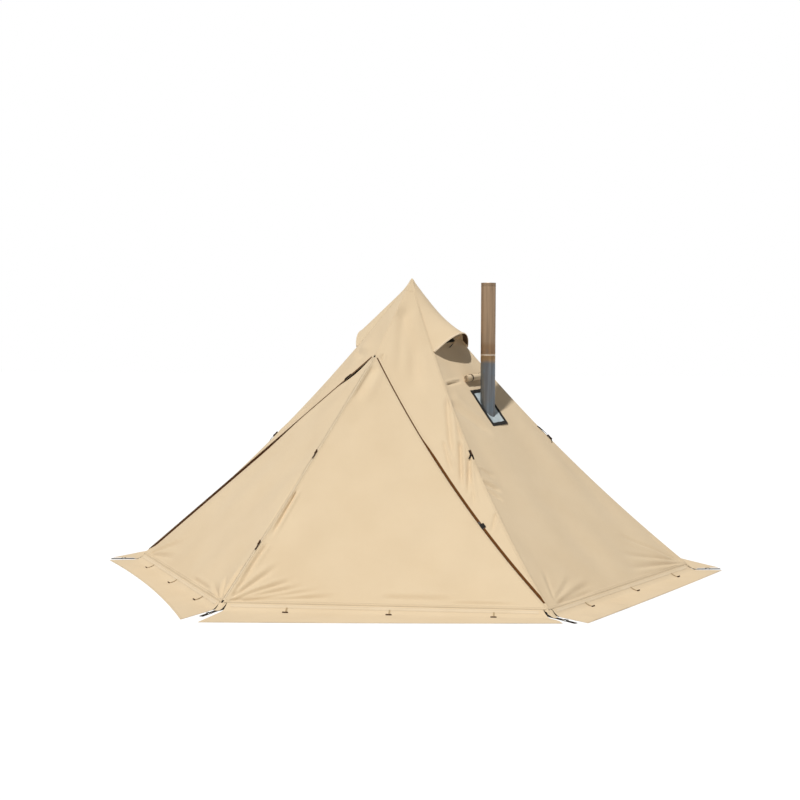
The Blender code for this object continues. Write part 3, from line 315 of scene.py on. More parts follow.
def canvas_material(name, tone, dark):
    """Polyester and cotton tent cloth: a plain weave, faint clouding where it was folded, and two rows of
    stitches beside each seam. The eye gets a soft matt cloth with a slight bloom at its edges."""
    made, add = new_material(name)
    cloth = add("UVMap", uv_map="cloth")
    clouds = add("TexNoise", Vector=cloth, Scale=2.3, Detail=5.0, Roughness=GRAIN)
    clouds = add("MapRange", clouds, 0.3, 0.75, **SMOOTH)
    threads = add("TexNoise", Vector=cloth, Scale=160.0, Detail=3.0, Roughness=GRAIN)
    puckers = add("TexNoise", Vector=cloth, Scale=9.0, Detail=4.0, Roughness=GRAIN)
    sewn = stitches(add)
    base = tinted(add, linear(tone), linear(dark), clouds)
    base = tinted(add, base, linear(dark), threads, 0.12)
    base = tinted(add, base, linear("8F7658"), sewn, 0.45)
    woven = weave(add, cloth, CANVAS_PITCH)
    normal = add("Bump", Height=woven, Distance=0.00012, Strength=0.5)
    normal = add("Bump", Height=puckers, Distance=0.004, Strength=0.35, Normal=normal)
    normal = add("Bump", Height=sewn, Distance=0.0006, Strength=1.0, Normal=normal)
    return shaded(made, Base_Color=base, Roughness=0.86, Sheen_Weight=0.12, Sheen_Roughness=0.6,
                  Specular_IOR_Level=0.25, Normal=normal)


def webbing_material(name, tone, dark, shine=0.2):
    """Woven polyester webbing: slanting ribs across the strap, worn paler on its high threads."""
    made, add = new_material(name)
    cloth = add("UVMap", uv_map="cloth")
    across, along = [add("SeparateXYZ", cloth, output=i) for i in (0, 1)]
    ribs = halved(add, waves(add, add("ADD", along, add("ABSOLUTE", across)), RIB_PITCH))
    patches = add("TexNoise", Vector=cloth, Scale=60.0, Detail=4.0, Roughness=GRAIN)
    worn = add("MULTIPLY", ribs, patches)
    normal = add("Bump", Height=ribs, Distance=0.0004, Strength=0.7)
    return shaded(made, Base_Color=tinted(add, linear(dark), linear(tone), worn), Roughness=0.72,
                  Specular_IOR_Level=0.12, Sheen_Weight=shine, Normal=normal)


def mesh_material():
    """Knitted insect netting in black: fine open threads, half see-through."""
    made, add = new_material("netting_knitted_polyester")
    cloth = add("UVMap", uv_map="cloth")
    clear = []
    for i in (0, 1):
        wave = waves(add, add("SeparateXYZ", cloth, output=i), NETTING_PITCH)
        clear.append(add("GREATER_THAN", add("ABSOLUTE", wave), 0.42))
    threads = add("SUBTRACT", 1.0, add("MULTIPLY", *clear))
    return shaded(made, Base_Color=linear("161412"), Roughness=0.7, Alpha=threads)


def heatproof_material():
    """Silicone coated glass cloth: pale grey, a satin glint on a broad weave, and soot near the pipe."""
    made, add = new_material("heatproof_coated_glass_cloth")
    cloth = add("UVMap", uv_map="cloth")
    cross = weave(add, cloth, GLASS_PITCH)
    smear = add("TexNoise", Vector=cloth, Scale=14.0, Detail=5.0, Roughness=GRAIN)
    smear = add("MapRange", smear, 0.35, 0.7, **SMOOTH)
    base = tinted(add, linear("C9D3D4"), linear("AEBABD"), smear)
    base = tinted(add, base, linear("8C979B"), cross, 0.16)
    normal = add("Bump", Height=cross, Distance=0.0004, Strength=0.6)
    return shaded(made, Base_Color=base, Roughness=0.45, Specular_IOR_Level=0.6, Normal=normal)


def chimney_material(name, low, high, seam_height, joint_highlight_height):
    """Rolled stainless pipe under heat: grey with blue below, straw and bronze above, and drawn scratches
    along it, their darker streaks partly painted reflection. A pale ring just above each joint is a painted
    highlight. Heights are in the tent's own coordinates."""
    made, add = new_material(name)
    place = add("TexCoord", output="Object")
    height = add("SeparateXYZ", place, output=2)
    stretched = add("Mapping", Vector=place, Scale=(60.0, 60.0, 1.5))
    drawn = add("TexNoise", Vector=stretched, Scale=1.0, Detail=4.0, Roughness=GRAIN)
    drawn = add("MapRange", drawn, 0.35, 0.66, **SMOOTH)
    blotch = add("TexNoise", Vector=place, Scale=9.0, Detail=5.0, Roughness=GRAIN)
    edge = add("MULTIPLY_ADD", blotch, 0.03, height)
    hot = add("MapRange", edge, seam_height - 0.012, seam_height + 0.03, **SMOOTH)
    blue = add("MapRange", blotch, 0.5, 0.7, **SMOOTH)
    blue = add("MULTIPLY", blue, add("SUBTRACT", 1.0, hot))
    # Painted highlight: a pale ring just above the joint, for the light line its rim shows.
    rubbed = add("LESS_THAN", add("ABSOLUTE", add("SUBTRACT", height, joint_highlight_height)), 0.0045)
    base = tinted(add, linear(low), linear(high), hot)
    # The drawn streaks darken the colour: partly drawing marks on the steel, partly painted reflection
    # streaks.
    base = tinted(add, base, linear("4E443A"), drawn, 0.4)
    base = tinted(add, base, linear("6F8796"), blue, 0.35)
    base = tinted(add, base, linear("EEDFCB"), rubbed, 0.75)
    uneven = add("MULTIPLY_ADD", drawn, 0.16, 0.42)
    normal = add("Bump", Height=drawn, Distance=0.0002, Strength=0.4)
    return shaded(made, Base_Color=base, Metallic=0.85, Roughness=uneven, Normal=normal)


def toned(hexadecimal, gain, more=0.0):
    return (*[part * gain + more for part in linear(hexadecimal)[:3]], 1.0)


def metal_material(name, tone, rough, metal=1.0, scratch=(8.0, 8.0, 120.0)):
    """Drawn or brushed metal, with fine scratches that break the highlight."""
    made, add = new_material(name)
    place = add("TexCoord", output="Object")
    stretched = add("Mapping", Vector=place, Scale=scratch)
    drawn = add("TexNoise", Vector=stretched, Scale=3.0, Detail=5.0, Roughness=GRAIN)
    uneven = add("MULTIPLY_ADD", drawn, 0.2, rough - 0.1)
    normal = add("Bump", Height=drawn, Distance=0.0002, Strength=0.25)
    return shaded(made, Base_Color=tinted(add, linear(tone), toned(tone, 0.78), drawn), Metallic=metal,
                  Roughness=uneven, Normal=normal)


def painted_material(name, tone, rough, grain, glint=0.5):
    """A grainy painted or moulded surface: an even colour with a fine orange peel and paler rubbed spots."""
    made, add = new_material(name)
    place = add("TexCoord", output="Object")
    fine = add("TexNoise", Vector=place, Scale=grain, Detail=3.0, Roughness=GRAIN)
    broad = add("TexNoise", Vector=place, Scale=11.0, Detail=5.0, Roughness=GRAIN)
    spots = add("MapRange", broad, 0.5, 0.8, **SMOOTH)
    base = tinted(add, linear(tone), toned(tone, 1.7, 0.01), spots)
    uneven = add("MULTIPLY_ADD", broad, 0.2, rough - 0.1)
    normal = add("Bump", Height=fine, Distance=0.0003, Strength=0.4)
    return shaded(made, Base_Color=base, Roughness=uneven, Specular_IOR_Level=glint, Normal=normal)


def prop_material(name, height):
    """A fibreglass rod in a canvas sleeve, with a black foot below this height in the tent's coordinates."""
    made, add = new_material(name)
    place = add("TexCoord", output="Object")
    high = add("SeparateXYZ", place, output=2)
    sleeve = add("MapRange", high, height - 0.001, height + 0.001, **SMOOTH)
    threads = add("TexNoise", Vector=place, Scale=400.0, Detail=3.0, Roughness=GRAIN)
    cloth = tinted(add, linear("A98F6C"), linear("8F7658"), threads)
    normal = add("Bump", Height=threads, Distance=0.0003, Strength=0.4)
    return shaded(made, Base_Color=tinted(add, linear("141312"), cloth, sleeve), Roughness=0.8,
                  Specular_IOR_Level=0.2, Normal=normal)


FINISHES = {}


def make_finishes():
    FINISHES.update({
        "canvas": canvas_material("canvas_woven_polycotton", "DBC5A3", "D7C09D"),
        # Painted light: the skirts' canvas is a lighter copy of the wall canvas, for the extra light the flat
        # skirts catch.
        "skirt": canvas_material("canvas_woven_sun_bleached", "DFC9A7", "DAC3A0"),
        "tab": canvas_material("canvas_folded_tab", "BFA680", "B59B74"),
        # Partly painted highlight: the binding is paler than the canvas, for the light its rolled and folded
        # edges catch on the hood's lip, the hems and the door's strip.
        "binding": canvas_material("canvas_folded_binding", "E3CFB0", "DBC5A3"),
        # Painted shade: the dark brown tape inside the hoods' ends stands for their shaded inside, and partly
        # for a real binding.
        "lining": webbing_material("lining_woven_brown", "6F5237", "4A3420", 0.05),
        "webbing": webbing_material("webbing_woven_brown", "6A5038", "3B2A1B"),
        "strap": webbing_material("webbing_woven_dark", "43392E", "1C1713", 0.0),
        "black_fabric": webbing_material("binding_woven_black", "37312B", "17140F", 0.1),
        "toggle": painted_material("toggle_moulded_brown", "4B3019", 0.55, 400.0, 0.2),
        "black_plastic": painted_material("plastic_moulded_black", "141312", 0.5, 500.0),
        "mesh": mesh_material(),
        "heatproof": heatproof_material(),
        "zip": webbing_material("zip_tape_woven_brown", "845426", "56330F", 0.0),
        # Painted shade: a darker copy of the zip tape, for the left leaf's tape where it lies back in the
        # gap's shade.
        "zip_dark": webbing_material("zip_tape_woven_dark", "5E3512", "381D08", 0.0),
        "zip_coil": painted_material("zip_coil_moulded_brown", "5E3612", 0.5, 600.0, 0.15),
        "zip_metal": metal_material("zip_slider_lacquered", "2A2724", 0.4, 0.6),
        "pole": metal_material("pole_drawn_aluminium", "B9BCC0", 0.35),
        "rubber": painted_material("rubber_moulded_black", "171716", 0.85, 300.0),
        "stove": painted_material("stove_heatproof_paint", "1B1B1D", 0.5, 350.0),
        "steel": metal_material("steel_brushed", "A3A3A0", 0.35, 1.0, (120.0, 8.0, 8.0)),
        "ring": metal_material("ring_plated_steel", "D6D6D4", 0.25),
        "prop_right": prop_material("prop_sleeved_right", 1.613),
        "prop_left": prop_material("prop_sleeved_left", 1.628),
        "chimney": chimney_material("chimney_heat_tinted_steel", "83878B", "B8956B", 1.50, 1.0325),
        "chimney_top": chimney_material("chimney_bronzed_steel", "B59270", "C3A586", 1.62, 1.5405),
    })

# Making pieces

CELL = 0.0125
FINE_CELL = 0.008
RIGHT_CELL = 0.0095
HOOD_CELL = 0.009
PATCH_CELL = 0.006
SEWN_WIDTH = 0.013
SEWN_RISE = 0.0009
SEWN_EDGE = 0.003
SLIVER = 0.0002
BAR_STEPS = 16
BAR_WAIST = 0.82
# Shares of a fold's run: how far it starts early, rises over and fades over. The cloth sinks back beside it.
FOLD_LEAD = 0.04
FOLD_RISE = 0.16
FOLD_FADE = 0.4
FOLD_RETURN = 0.45
FOLD_BESIDE = 1.9
FOLD_EASE = 0.02
WAVE_EASE = 0.18
WAVES = 7
WAVE_LEAN = 0.5
WAVE_REACH = 0.5
LEAF_WAVE_REACH = 0.45
CORNER_FOLDS = 4
CORNER_FOLD_REACH = 0.55
CORNER_FOLD_WIDTH = 0.009
CORNER_FOLD_HEIGHT = -0.005
CORNER_FOLD_START = 0.03
CORNER_FOLD_SPREAD = 2.6
CORNER_FOLD_CRISP = 0.35
# The folds' directions, as shares of the corner's opening.
CORNER_FOLD_FIRST = 0.06
CORNER_FOLD_STEP = 0.2


def linked(name, data):
    made = bpy.data.objects.new(name, data)
    bpy.context.scene.collection.objects.link(made)
    return made


def settle(name, build, finish, body, slot, nodes=(), patterns=None, thickness=0.0):
    """A piece that rides on a body and stands for the nodes. Patterns give each vertex two numbers."""
    build.verts.index_update()
    if thickness:
        for edge in build.edges:
            edge.smooth = not edge.is_boundary
    mesh = bpy.data.meshes.new(name)
    build.to_mesh(mesh)
    build.free()
    mesh.materials.append(FINISHES[finish])
    mesh.polygons.foreach_set("use_smooth", np.full(len(mesh.polygons), True))
    corners = np.empty(len(mesh.loops), np.int32)
    mesh.loops.foreach_get("vertex_index", corners)
    for pattern, values in (patterns or {}).items():
        layer = mesh.uv_layers.new(name=pattern)
        layer.data.foreach_set("uv", np.asarray(values, np.float32)[corners].ravel())
    piece = linked(name, mesh)
    if thickness:
        solid = piece.modifiers.new("Thickness", "SOLIDIFY")
        solid.thickness = thickness
        solid.offset = 0
    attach(piece, body)
    if nodes:
        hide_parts(*nodes)
    return piece


def move_all(build, places):
    for vert, place in zip(build.verts, places):
        vert.co = place


def flat_spots(build):
    return np.array([vert.co[:2] for vert in build.verts])


def grid(low, high, steps):
    """A flat grid between two corners."""
    build = bmesh.new()
    bmesh.ops.create_grid(build, x_segments=int(steps[0]), y_segments=int(steps[1]), size=1.0)
    reach = max(vert.co.x for vert in build.verts)
    middle = (np.asarray(low) + high) / 2
    half = (np.asarray(high) - low) / 2
    for vert in build.verts:
        vert.co = (middle[0] + vert.co.x / reach * half[0], middle[1] + vert.co.y / reach * half[1], 0)
    return build


def outward(start, end):
    along = end - start
    return np.array((along[1], -along[0])) / np.linalg.norm(along)


def sliced(build, place, away, clear, faces=None):
    if faces is None:
        geometry = build.verts[:] + build.edges[:] + build.faces[:]
    else:
        edges = {edge for face in faces for edge in face.edges}
        verts = {vert for face in faces for vert in face.verts}
        geometry = list(verts) + list(edges) + faces
    bmesh.ops.bisect_plane(build, geom=geometry, dist=1e-6, plane_co=(*place, 0), plane_no=(*away, 0),
                           clear_outer=clear)


def cut_cloth(outline, holes, cell, sewn):
    """A flat mesh of the convex outline, listed anticlockwise, open at its convex holes. Each sewn edge has
    its turned width, and a line of points on either side of the turning's inner edge."""
    low = outline.min(axis=0)
    high = outline.max(axis=0)
    build = grid(low, high, np.maximum(1, np.ceil((high - low) / cell)))
    for i, start in enumerate(outline):
        away = outward(start, outline[(i + 1) % len(outline)])
        sliced(build, start, away, True)
        if i in sewn:
            for inside in (sewn[i], sewn[i] + SEWN_EDGE):
                sliced(build, start - away * inside, away, False)
    for hole in holes:
        low = hole.min(axis=0) - cell
        high = hole.max(axis=0) + cell
        for i, start in enumerate(hole):
            away = outward(start, hole[(i + 1) % len(hole)])
            near = []
            for face in build.faces:
                middle = face.calc_center_median()
                if low[0] < middle.x < high[0] and low[1] < middle.y < high[1]:
                    near.append(face)
            sliced(build, start, away, False, near)
        gone = []
        for face in build.faces:
            middle = np.array(face.calc_center_median()[:2])
            sides = [outward(start, hole[(i + 1) % len(hole)]) for i, start in enumerate(hole)]
            if all((middle - start) @ away < 0 for start, away in zip(hole, sides)):
                gone.append(face)
        bmesh.ops.delete(build, geom=gone, context="FACES")
    bmesh.ops.remove_doubles(build, verts=build.verts, dist=SLIVER)
    bmesh.ops.recalc_face_normals(build, faces=build.faces)
    if sum(face.normal.z for face in build.faces) < 0:
        bmesh.ops.reverse_faces(build, faces=build.faces)
    return build


def edge_runs(spots, outline, chosen):
    """How far each spot is inside the nearest chosen edge, measured in its turning, and how far along it."""
    nearest = np.full(len(spots), 9.0)
    along_it = np.zeros(len(spots))
    for i in chosen:
        start = outline[i]
        away = outward(start, outline[(i + 1) % len(outline)])
        inside = (start - spots) @ away * SEWN_WIDTH / chosen[i]
        closer = inside < nearest
        nearest[closer] = inside[closer]
        along_it[closer] = ((spots - start) @ np.array((-away[1], away[0])))[closer]
    return nearest, along_it


def fold_heights(spots, folds):
    """Folds are rows of start, end, half width, height, widening at the end, and crispness from 0 to 1."""
    total = np.zeros(len(spots))
    for start, end, width, height, spread, crisp in folds:
        start = np.array(start)
        along = np.array(end) - start
        reach = np.linalg.norm(along)
        run = ((spots - start) @ along) / (reach * reach)
        side = (along[0] * (spots[:, 1] - start[1]) - along[1] * (spots[:, 0] - start[0])) / reach
        wide = width * (1 + (spread - 1) * np.clip(run, 0, 1))
        ends = smooth((run + FOLD_LEAD) / FOLD_RISE) * smooth((1 - run) / FOLD_FADE)
        body = np.exp(-(side / wide) ** 2) * (1 - crisp) + np.exp(-np.abs(side) / wide) * crisp
        beside = np.exp(-((side - FOLD_BESIDE * wide) / wide) ** 2)
        total += height * ends * (body - FOLD_RETURN * beside)
    return total


def billow(spots, seed, reach, height):
    """Slow waves that hang mostly up and down the cloth."""
    dice = np.random.default_rng(seed)
    total = np.zeros(len(spots))
    for _ in range(WAVES):
        angle = dice.normal(0.0, WAVE_LEAN)
        wave = reach * dice.uniform(0.6, 1.7)
        turn = dice.uniform(0, 2 * math.pi)
        total += np.sin((spots @ np.array((math.cos(angle), math.sin(angle)))) * 2 * math.pi / wave + turn)
    return total * height / WAVES


def corner_folds(surface, side, seed):
    """Tension folds that fan out from one bottom corner of a wall."""
    dice = np.random.default_rng(seed)
    corner = surface.flat[1] if side < 0 else surface.flat[2]
    middle = surface.spot(1 / 3, 1 / 3, 1 / 3)
    opening = math.atan2(surface.height, abs(corner[0])) if corner[0] else math.pi / 4
    folds = []
    for i in range(CORNER_FOLDS):
        angle = opening * (CORNER_FOLD_FIRST + CORNER_FOLD_STEP * i + dice.uniform(-0.04, 0.04))
        out = np.array((math.cos(angle) * math.copysign(1, middle[0] - corner[0]), math.sin(angle)))
        start = corner + out * CORNER_FOLD_START
        end = corner + out * CORNER_FOLD_REACH * dice.uniform(0.6, 1.1) * (1 - 0.12 * i)
        width = CORNER_FOLD_WIDTH * dice.uniform(0.8, 1.3)
        height = CORNER_FOLD_HEIGHT * dice.uniform(0.6, 1.2)
        folds.append((start, end, width, height, CORNER_FOLD_SPREAD, CORNER_FOLD_CRISP))
    return folds


def tailored(name, surface, outline, body, nodes, finish="canvas", slot="canvas", holes=(), sewn=None,
             folds=(), cell=CELL, lift=0.0, wave=(0, 0.4, 0.0), drawn=None, thickness=CANVAS):
    """A sheet cut flat, folded and laid on its surface. Drawn moves its flat spots and lifts them."""
    outline = np.asarray(outline, float)
    sewn = sewn or {}
    build = cut_cloth(outline, holes, cell, sewn)
    spots = flat_spots(build)
    inside, _ = edge_runs(spots, outline, dict.fromkeys(range(len(outline)), SEWN_WIDTH))
    near, along = edge_runs(spots, outline, sewn)
    relief = fold_heights(spots, folds) * smooth(inside / FOLD_EASE)
    seed, reach, height = wave
    relief += billow(spots, seed, reach, height) * smooth(inside / WAVE_EASE)
    relief += SEWN_RISE * (1 - smooth((near - SEWN_WIDTH) / SEWN_EDGE))
    laid = spots
    if drawn is not None:
        laid, extra = drawn(spots)
        relief = relief + extra
    move_all(build, surface.place(laid, relief + lift))
    patterns = {"cloth": spots, "seam": paired(near, along)}
    piece = settle(name, build, finish, body, slot, nodes, patterns, thickness)
    return piece


def mapped(name, steps, shape, finish, body, slot, nodes, thickness, size, margins=None):
    """A grid whose spots, from 0 to 1 each way, the shape turns into places. The size is the cloth's."""
    build = grid((0.0, 0.0), (1.0, 1.0), steps)
    spots = flat_spots(build)
    move_all(build, shape(spots))
    cloth = spots * size
    inside = np.minimum(spots[:, 0], 1 - spots[:, 0]) * size[0]
    seam = paired(inside, cloth[:, 1]) if margins is None else margins(spots)
    return settle(name, build, finish, body, slot, nodes, {"cloth": cloth, "seam": seam}, thickness)


def turned(profile, place, steps, whole=True):
    """The profile, as radius and height, spun about the frame's Z. A whole profile closes on itself."""
    build = bmesh.new()
    verts = [build.verts.new((radius, 0, height)) for radius, height in profile]
    count = len(verts) if whole else len(verts) - 1
    edges = [build.edges.new((verts[i], verts[(i + 1) % len(verts)])) for i in range(count)]
    bmesh.ops.spin(build, geom=verts + edges, cent=(0, 0, 0), axis=(0, 0, 1), dvec=(0, 0, 0),
                   angle=2 * math.pi, steps=steps, use_merge=True, use_duplicate=False)
    bmesh.ops.remove_doubles(build, verts=build.verts, dist=1e-6)
    bmesh.ops.recalc_face_normals(build, faces=build.faces)
    bmesh.ops.transform(build, matrix=place, verts=build.verts)
    return build


def oval(middle, wide, tall, count):
    """A profile round a point on the X axis, at this distance from the frame's Z."""
    turns = np.linspace(0, 2 * math.pi, count + 1)[:-1]
    return [(middle + wide * math.cos(turn), tall * math.sin(turn)) for turn in turns]


def bar(length, radius, place):
    """A turned toggle: rounded ends and a slight waist where its loop sits."""
    half = length / 2
    upper = [(radius * BAR_WAIST, half * 0.2), (radius, half * 0.35), (radius, half - radius)]
    upper += [(radius * 0.92, half - radius * 0.4), (radius * 0.55, half), (0, half)]
    lower = [(across, -height) for across, height in reversed(upper)]
    return turned(lower + upper, place, BAR_STEPS, False)


def ease(piece, width, harden):
    """Rounds the piece's sharp edges over."""
    if width:
        eased = piece.modifiers.new("Eased edges", "BEVEL")
        eased.width = width
        eased.segments = 2
        eased.limit_method = "ANGLE"
        eased.harden_normals = harden


def solid(name, build, finish, body, slot, nodes=(), bevel=0.0):
    """A closed piece, its edges eased by the bevel."""
    ease(settle(name, build, finish, body, slot, nodes), bevel, True)


def slab(low, high, place):
    """A plate between two corners in the frame."""
    build = bmesh.new()
    bmesh.ops.create_cube(build, size=1)
    for vert in build.verts:
        spot = [low[i] + (high[i] - low[i]) * (vert.co[i] + 0.5) for i in range(3)]
        vert.co = place @ Vector(spot)
    bmesh.ops.recalc_face_normals(build, faces=build.faces)
    return build

# Canopy

HEM_WIDTH = 0.02
HIP_WIDTH = 0.016
VENT_FOOT_SHARE = 0.8
VENT_HEAD_SHARE = 0.93
VENT_SPREAD_SHARE = 0.6
JACK_SHARE = 0.592
JACK_SIDE = 0.033
JACK_WIDTH = 0.2
JACK_LENGTH = 0.31
JACK_BORDER = 0.022
SEAM_GAP = 0.0005
RIGHT_FOLDS = [
    ((-0.376, 1.67), (-0.135, 1.338), 0.05, -0.016, 0.8, 0.1),
    ((-0.29, 1.82), (-0.07, 1.83), 0.009, -0.016, 1.0, 0.9),
    ((-0.877, 0.02), (-0.317, 0.03), 0.010, -0.010, 2.2, 0.4),
    ((-0.86, 0.03), (-0.28, 0.09), 0.010, -0.010, 2.8, 0.3),
    ((-0.88, 0.04), (-0.45, 0.19), 0.010, -0.005, 2.4, 0.2),
    ((-0.87, 0.05), (-0.70, 0.29), 0.011, -0.005, 2.0, 0.1),
    ((0.95, 0.03), (0.80, 0.40), 0.009, -0.009, 2.6, 0.3),
    ((0.94, 0.02), (0.15, 0.12), 0.007, -0.010, 3.6, 0.3),
    ((0.93, 0.05), (0.40, 0.42), 0.009, -0.009, 3.2, 0.2),
    ((0.94, 0.04), (0.22, 0.25), 0.008, -0.010, 3.6, 0.3),
    ((-0.57, 1.27), (-0.62, 1.12), 0.014, -0.012, 1.4, 0.4),
    ((-0.625, 1.035), (-0.49, 0.91), 0.014, -0.014, 1.8, 0.4),
    ((-0.64, 0.96), (-0.55, 0.84), 0.012, -0.010, 1.8, 0.4),
    ((-0.55, 1.13), (-0.44, 1.04), 0.012, -0.009, 1.6, 0.4),
]
UPPER_FOLDS = [
    ((0.47, 0.06), (0.53, 0.004), 0.009, -0.012, 1.2, 0.7),
    ((1.0, 0.33), (1.5, 0.095), 0.02, -0.016, 0.8, 0.3),
    ((1.017, 0.39), (1.43, 0.22), 0.02, -0.014, 0.8, 0.2),
    ((1.36, 0.24), (1.722, 0.04), 0.011, -0.021, 1.2, 0.6),
    ((1.50, 0.235), (1.80, 0.045), 0.011, -0.017, 1.2, 0.4),
    ((1.30, 0.135), (1.58, 0.05), 0.011, -0.013, 1.2, 0.4),
    ((1.58, 0.19), (1.90, 0.035), 0.010, -0.011, 1.2, 0.4),
    ((1.99, 0.15), (2.12, 0.03), 0.010, -0.011, 1.2, 0.5),
    ((0.17, 0.39), (0.928, 0.142), 0.045, -0.015, 1.1, 0.0),
    ((0.2, 0.36), (0.708, 0.069), 0.04, -0.011, 1.0, 0.0),
]
LEFT_FOLDS = [
    ((-0.62, 0.30), (-0.52, 0.06), 0.03, -0.013, 1.3, 0.1),
    ((-1.5, 0.18), (-0.9, 0.05), 0.035, -0.011, 1.0, 0.0),
    ((-2.7, 0.012), (-1.9, 0.06), 0.012, -0.010, 2.6, 0.3),
]


def inset(corners, gaps):
    """A convex outline, listed anticlockwise, with each edge moved inward by its own gap."""
    lines = []
    for i, corner in enumerate(corners):
        away = outward(corner, corners[(i + 1) % len(corners)])
        lines.append((corner - away * gaps[i], away))
    moved = []
    for i, (place, away) in enumerate(lines):
        before, away_before = lines[i - 1]
        moved.append(np.linalg.solve((away, away_before), (away @ place, away_before @ before)))
    return np.array(moved)


def panel_outline(surface, left_reach=1.0, right_reach=1.0):
    left = (1 - PANEL_TOP_SHARE) / left_reach
    right = (1 - PANEL_TOP_SHARE) / right_reach
    return np.array((surface.spot(0, 1, 0), surface.spot(0, 0, 1), surface.spot(1 - right, 0, right),
                     surface.spot(1 - left, left, 0)))


def vent_outline(surface, gap):
    corners = []
    foot, head = VENT_FOOT_SHARE, VENT_HEAD_SHARE
    for share, side in ((foot, -1), (foot, 1), (head, 1), (head, -1)):
        corners.append((side * VENT_SPREAD_SHARE * HALF_SIDE * (1 - share), share * surface.height))
    return inset(np.array(corners), [gap] * 4)


def jack_rectangle(surface, inward):
    wide = JACK_WIDTH / 2 - inward
    tall = JACK_LENGTH / 2 - inward
    middle = np.array((JACK_SIDE, JACK_SHARE * surface.height))
    return np.array([middle + (x * wide, y * tall) for x, y in ((-1, -1), (1, -1), (1, 1), (-1, 1))])


def dress_canopy(wave):
    reach = 1 - DOOR_TOP_SHARE
    around = {0: HEM_WIDTH, 1: HIP_WIDTH, 3: HIP_WIDTH}
    tailored("front_upper_cloth", FRONT_UPPER, panel_outline(FRONT_UPPER, left_reach=reach), "tent",
             ["front_upper_panel"], sewn={0: SEWN_WIDTH, 1: HIP_WIDTH}, folds=UPPER_FOLDS,
             wave=(11, WAVE_REACH, wave), cell=FINE_CELL)
    tailored("left_upper_cloth", LEFT_UPPER, panel_outline(LEFT_UPPER, right_reach=reach), "tent",
             ["left_upper_panel"], sewn={0: SEWN_WIDTH, 3: HIP_WIDTH}, folds=LEFT_FOLDS,
             wave=(12, WAVE_REACH, wave))
    openings = [vent_outline(RIGHT_WALL, 0.0), jack_rectangle(RIGHT_WALL, JACK_BORDER)]
    tailored("right_cloth", RIGHT_WALL, panel_outline(RIGHT_WALL), "tent", ["right_panel"], sewn=around,
             holes=openings, folds=RIGHT_FOLDS, wave=(13, WAVE_REACH, wave), cell=RIGHT_CELL)
    for seed, wall in enumerate(("back_right", "back", "back_left")):
        surface = whole_wall(wall)
        holes = [vent_outline(surface, 0.0)] if wall == "back_left" else []
        folds = corner_folds(surface, -1, 20 + seed) + corner_folds(surface, 1, 30 + seed)
        tailored(wall + "_cloth", surface, panel_outline(surface), "tent", [wall + "_panel"], sewn=around,
                 holes=holes, folds=folds, wave=(14 + seed, WAVE_REACH, wave))


# Door

LEAF_FOLDS = [
    ((-0.74, 0.012), (-0.321, 0.195), 0.008, -0.012, 2.4, 0.35),
    ((-0.73, 0.012), (-0.246, 0.145), 0.008, -0.013, 2.4, 0.35),
    ((-0.70, 0.012), (-0.149, 0.111), 0.008, -0.011, 2.2, 0.3),
    ((-0.66, 0.02), (-0.019, 0.062), 0.009, -0.010, 2.0, 0.3),
    ((-0.73, 0.03), (-0.43, 0.31), 0.010, -0.013, 2.4, 0.35),
    ((-0.72, 0.05), (-0.58, 0.33), 0.010, -0.012, 2.0, 0.35),
    ((-0.559, 0.44), (-0.697, 0.129), 0.012, -0.014, 1.2, 0.3),
    ((-0.419, 0.862), (-0.55, 0.469), 0.011, -0.022, 1.0, 0.6),
    ((0.009, 1.924), (-0.123, 1.577), 0.03, -0.013, 1.3, 0.1),
    ((0.2, 0.06), (0.75, 0.06), 0.02, -0.008, 1.2, 0.1),
    ((0.62, 0.035), (1.10, 0.035), 0.012, -0.006, 0.8, 0.2),
]
LEFT_LEAF_FOLDS = [
    ((0.72, 0.02), (0.50, 0.17), 0.010, -0.014, 2.0, 0.4),
    ((0.73, 0.04), (0.62, 0.30), 0.010, -0.013, 2.2, 0.4),
    ((0.70, 0.012), (0.36, 0.085), 0.010, -0.012, 2.2, 0.3),
    ((0.38, 1.0), (0.60, 0.42), 0.016, -0.011, 1.0, 0.3),
    ((0.094, 1.919), (0.308, 1.379), 0.03, -0.013, 1.3, 0.1),
    ((0.065, 0.03), (0.567, 0.03), 0.014, -0.008, 1.2, 0.2),
    ((-1.1, 0.02), (-0.6, 0.24), 0.012, -0.010, 2.6, 0.3),
    ((-1.08, 0.015), (-0.5, 0.1), 0.012, -0.010, 2.6, 0.3),
]
LEAF_ZIP_INSET = 0.001
HIP_TAPE_WIDTH = 0.0115
HIP_TAPE_THICKNESS = 0.002
HIP_TAPE_DEPTH = 0.003
HIP_TAPE_CROWN = 0.0008
HIP_TAPE_END = 0.02
DOOR_TOGGLE_RISE = 0.008
DOOR_TOGGLE_RADIUS = 0.0048
TOGGLE_RADIUS = 0.004
TOGGLE_LENGTH = 0.037
TOGGLE_STRAP_WIDTH = 0.01
TOGGLE_TAIL = 0.055
TAIL_THICKNESS = 0.0014
TAIL_CLEAR = 0.0028
TAIL_KNOT_RISE = 0.005
TAIL_CURL = 0.004
LOOP_WIDTH = 0.009
LOOP_BEVEL = 0.001
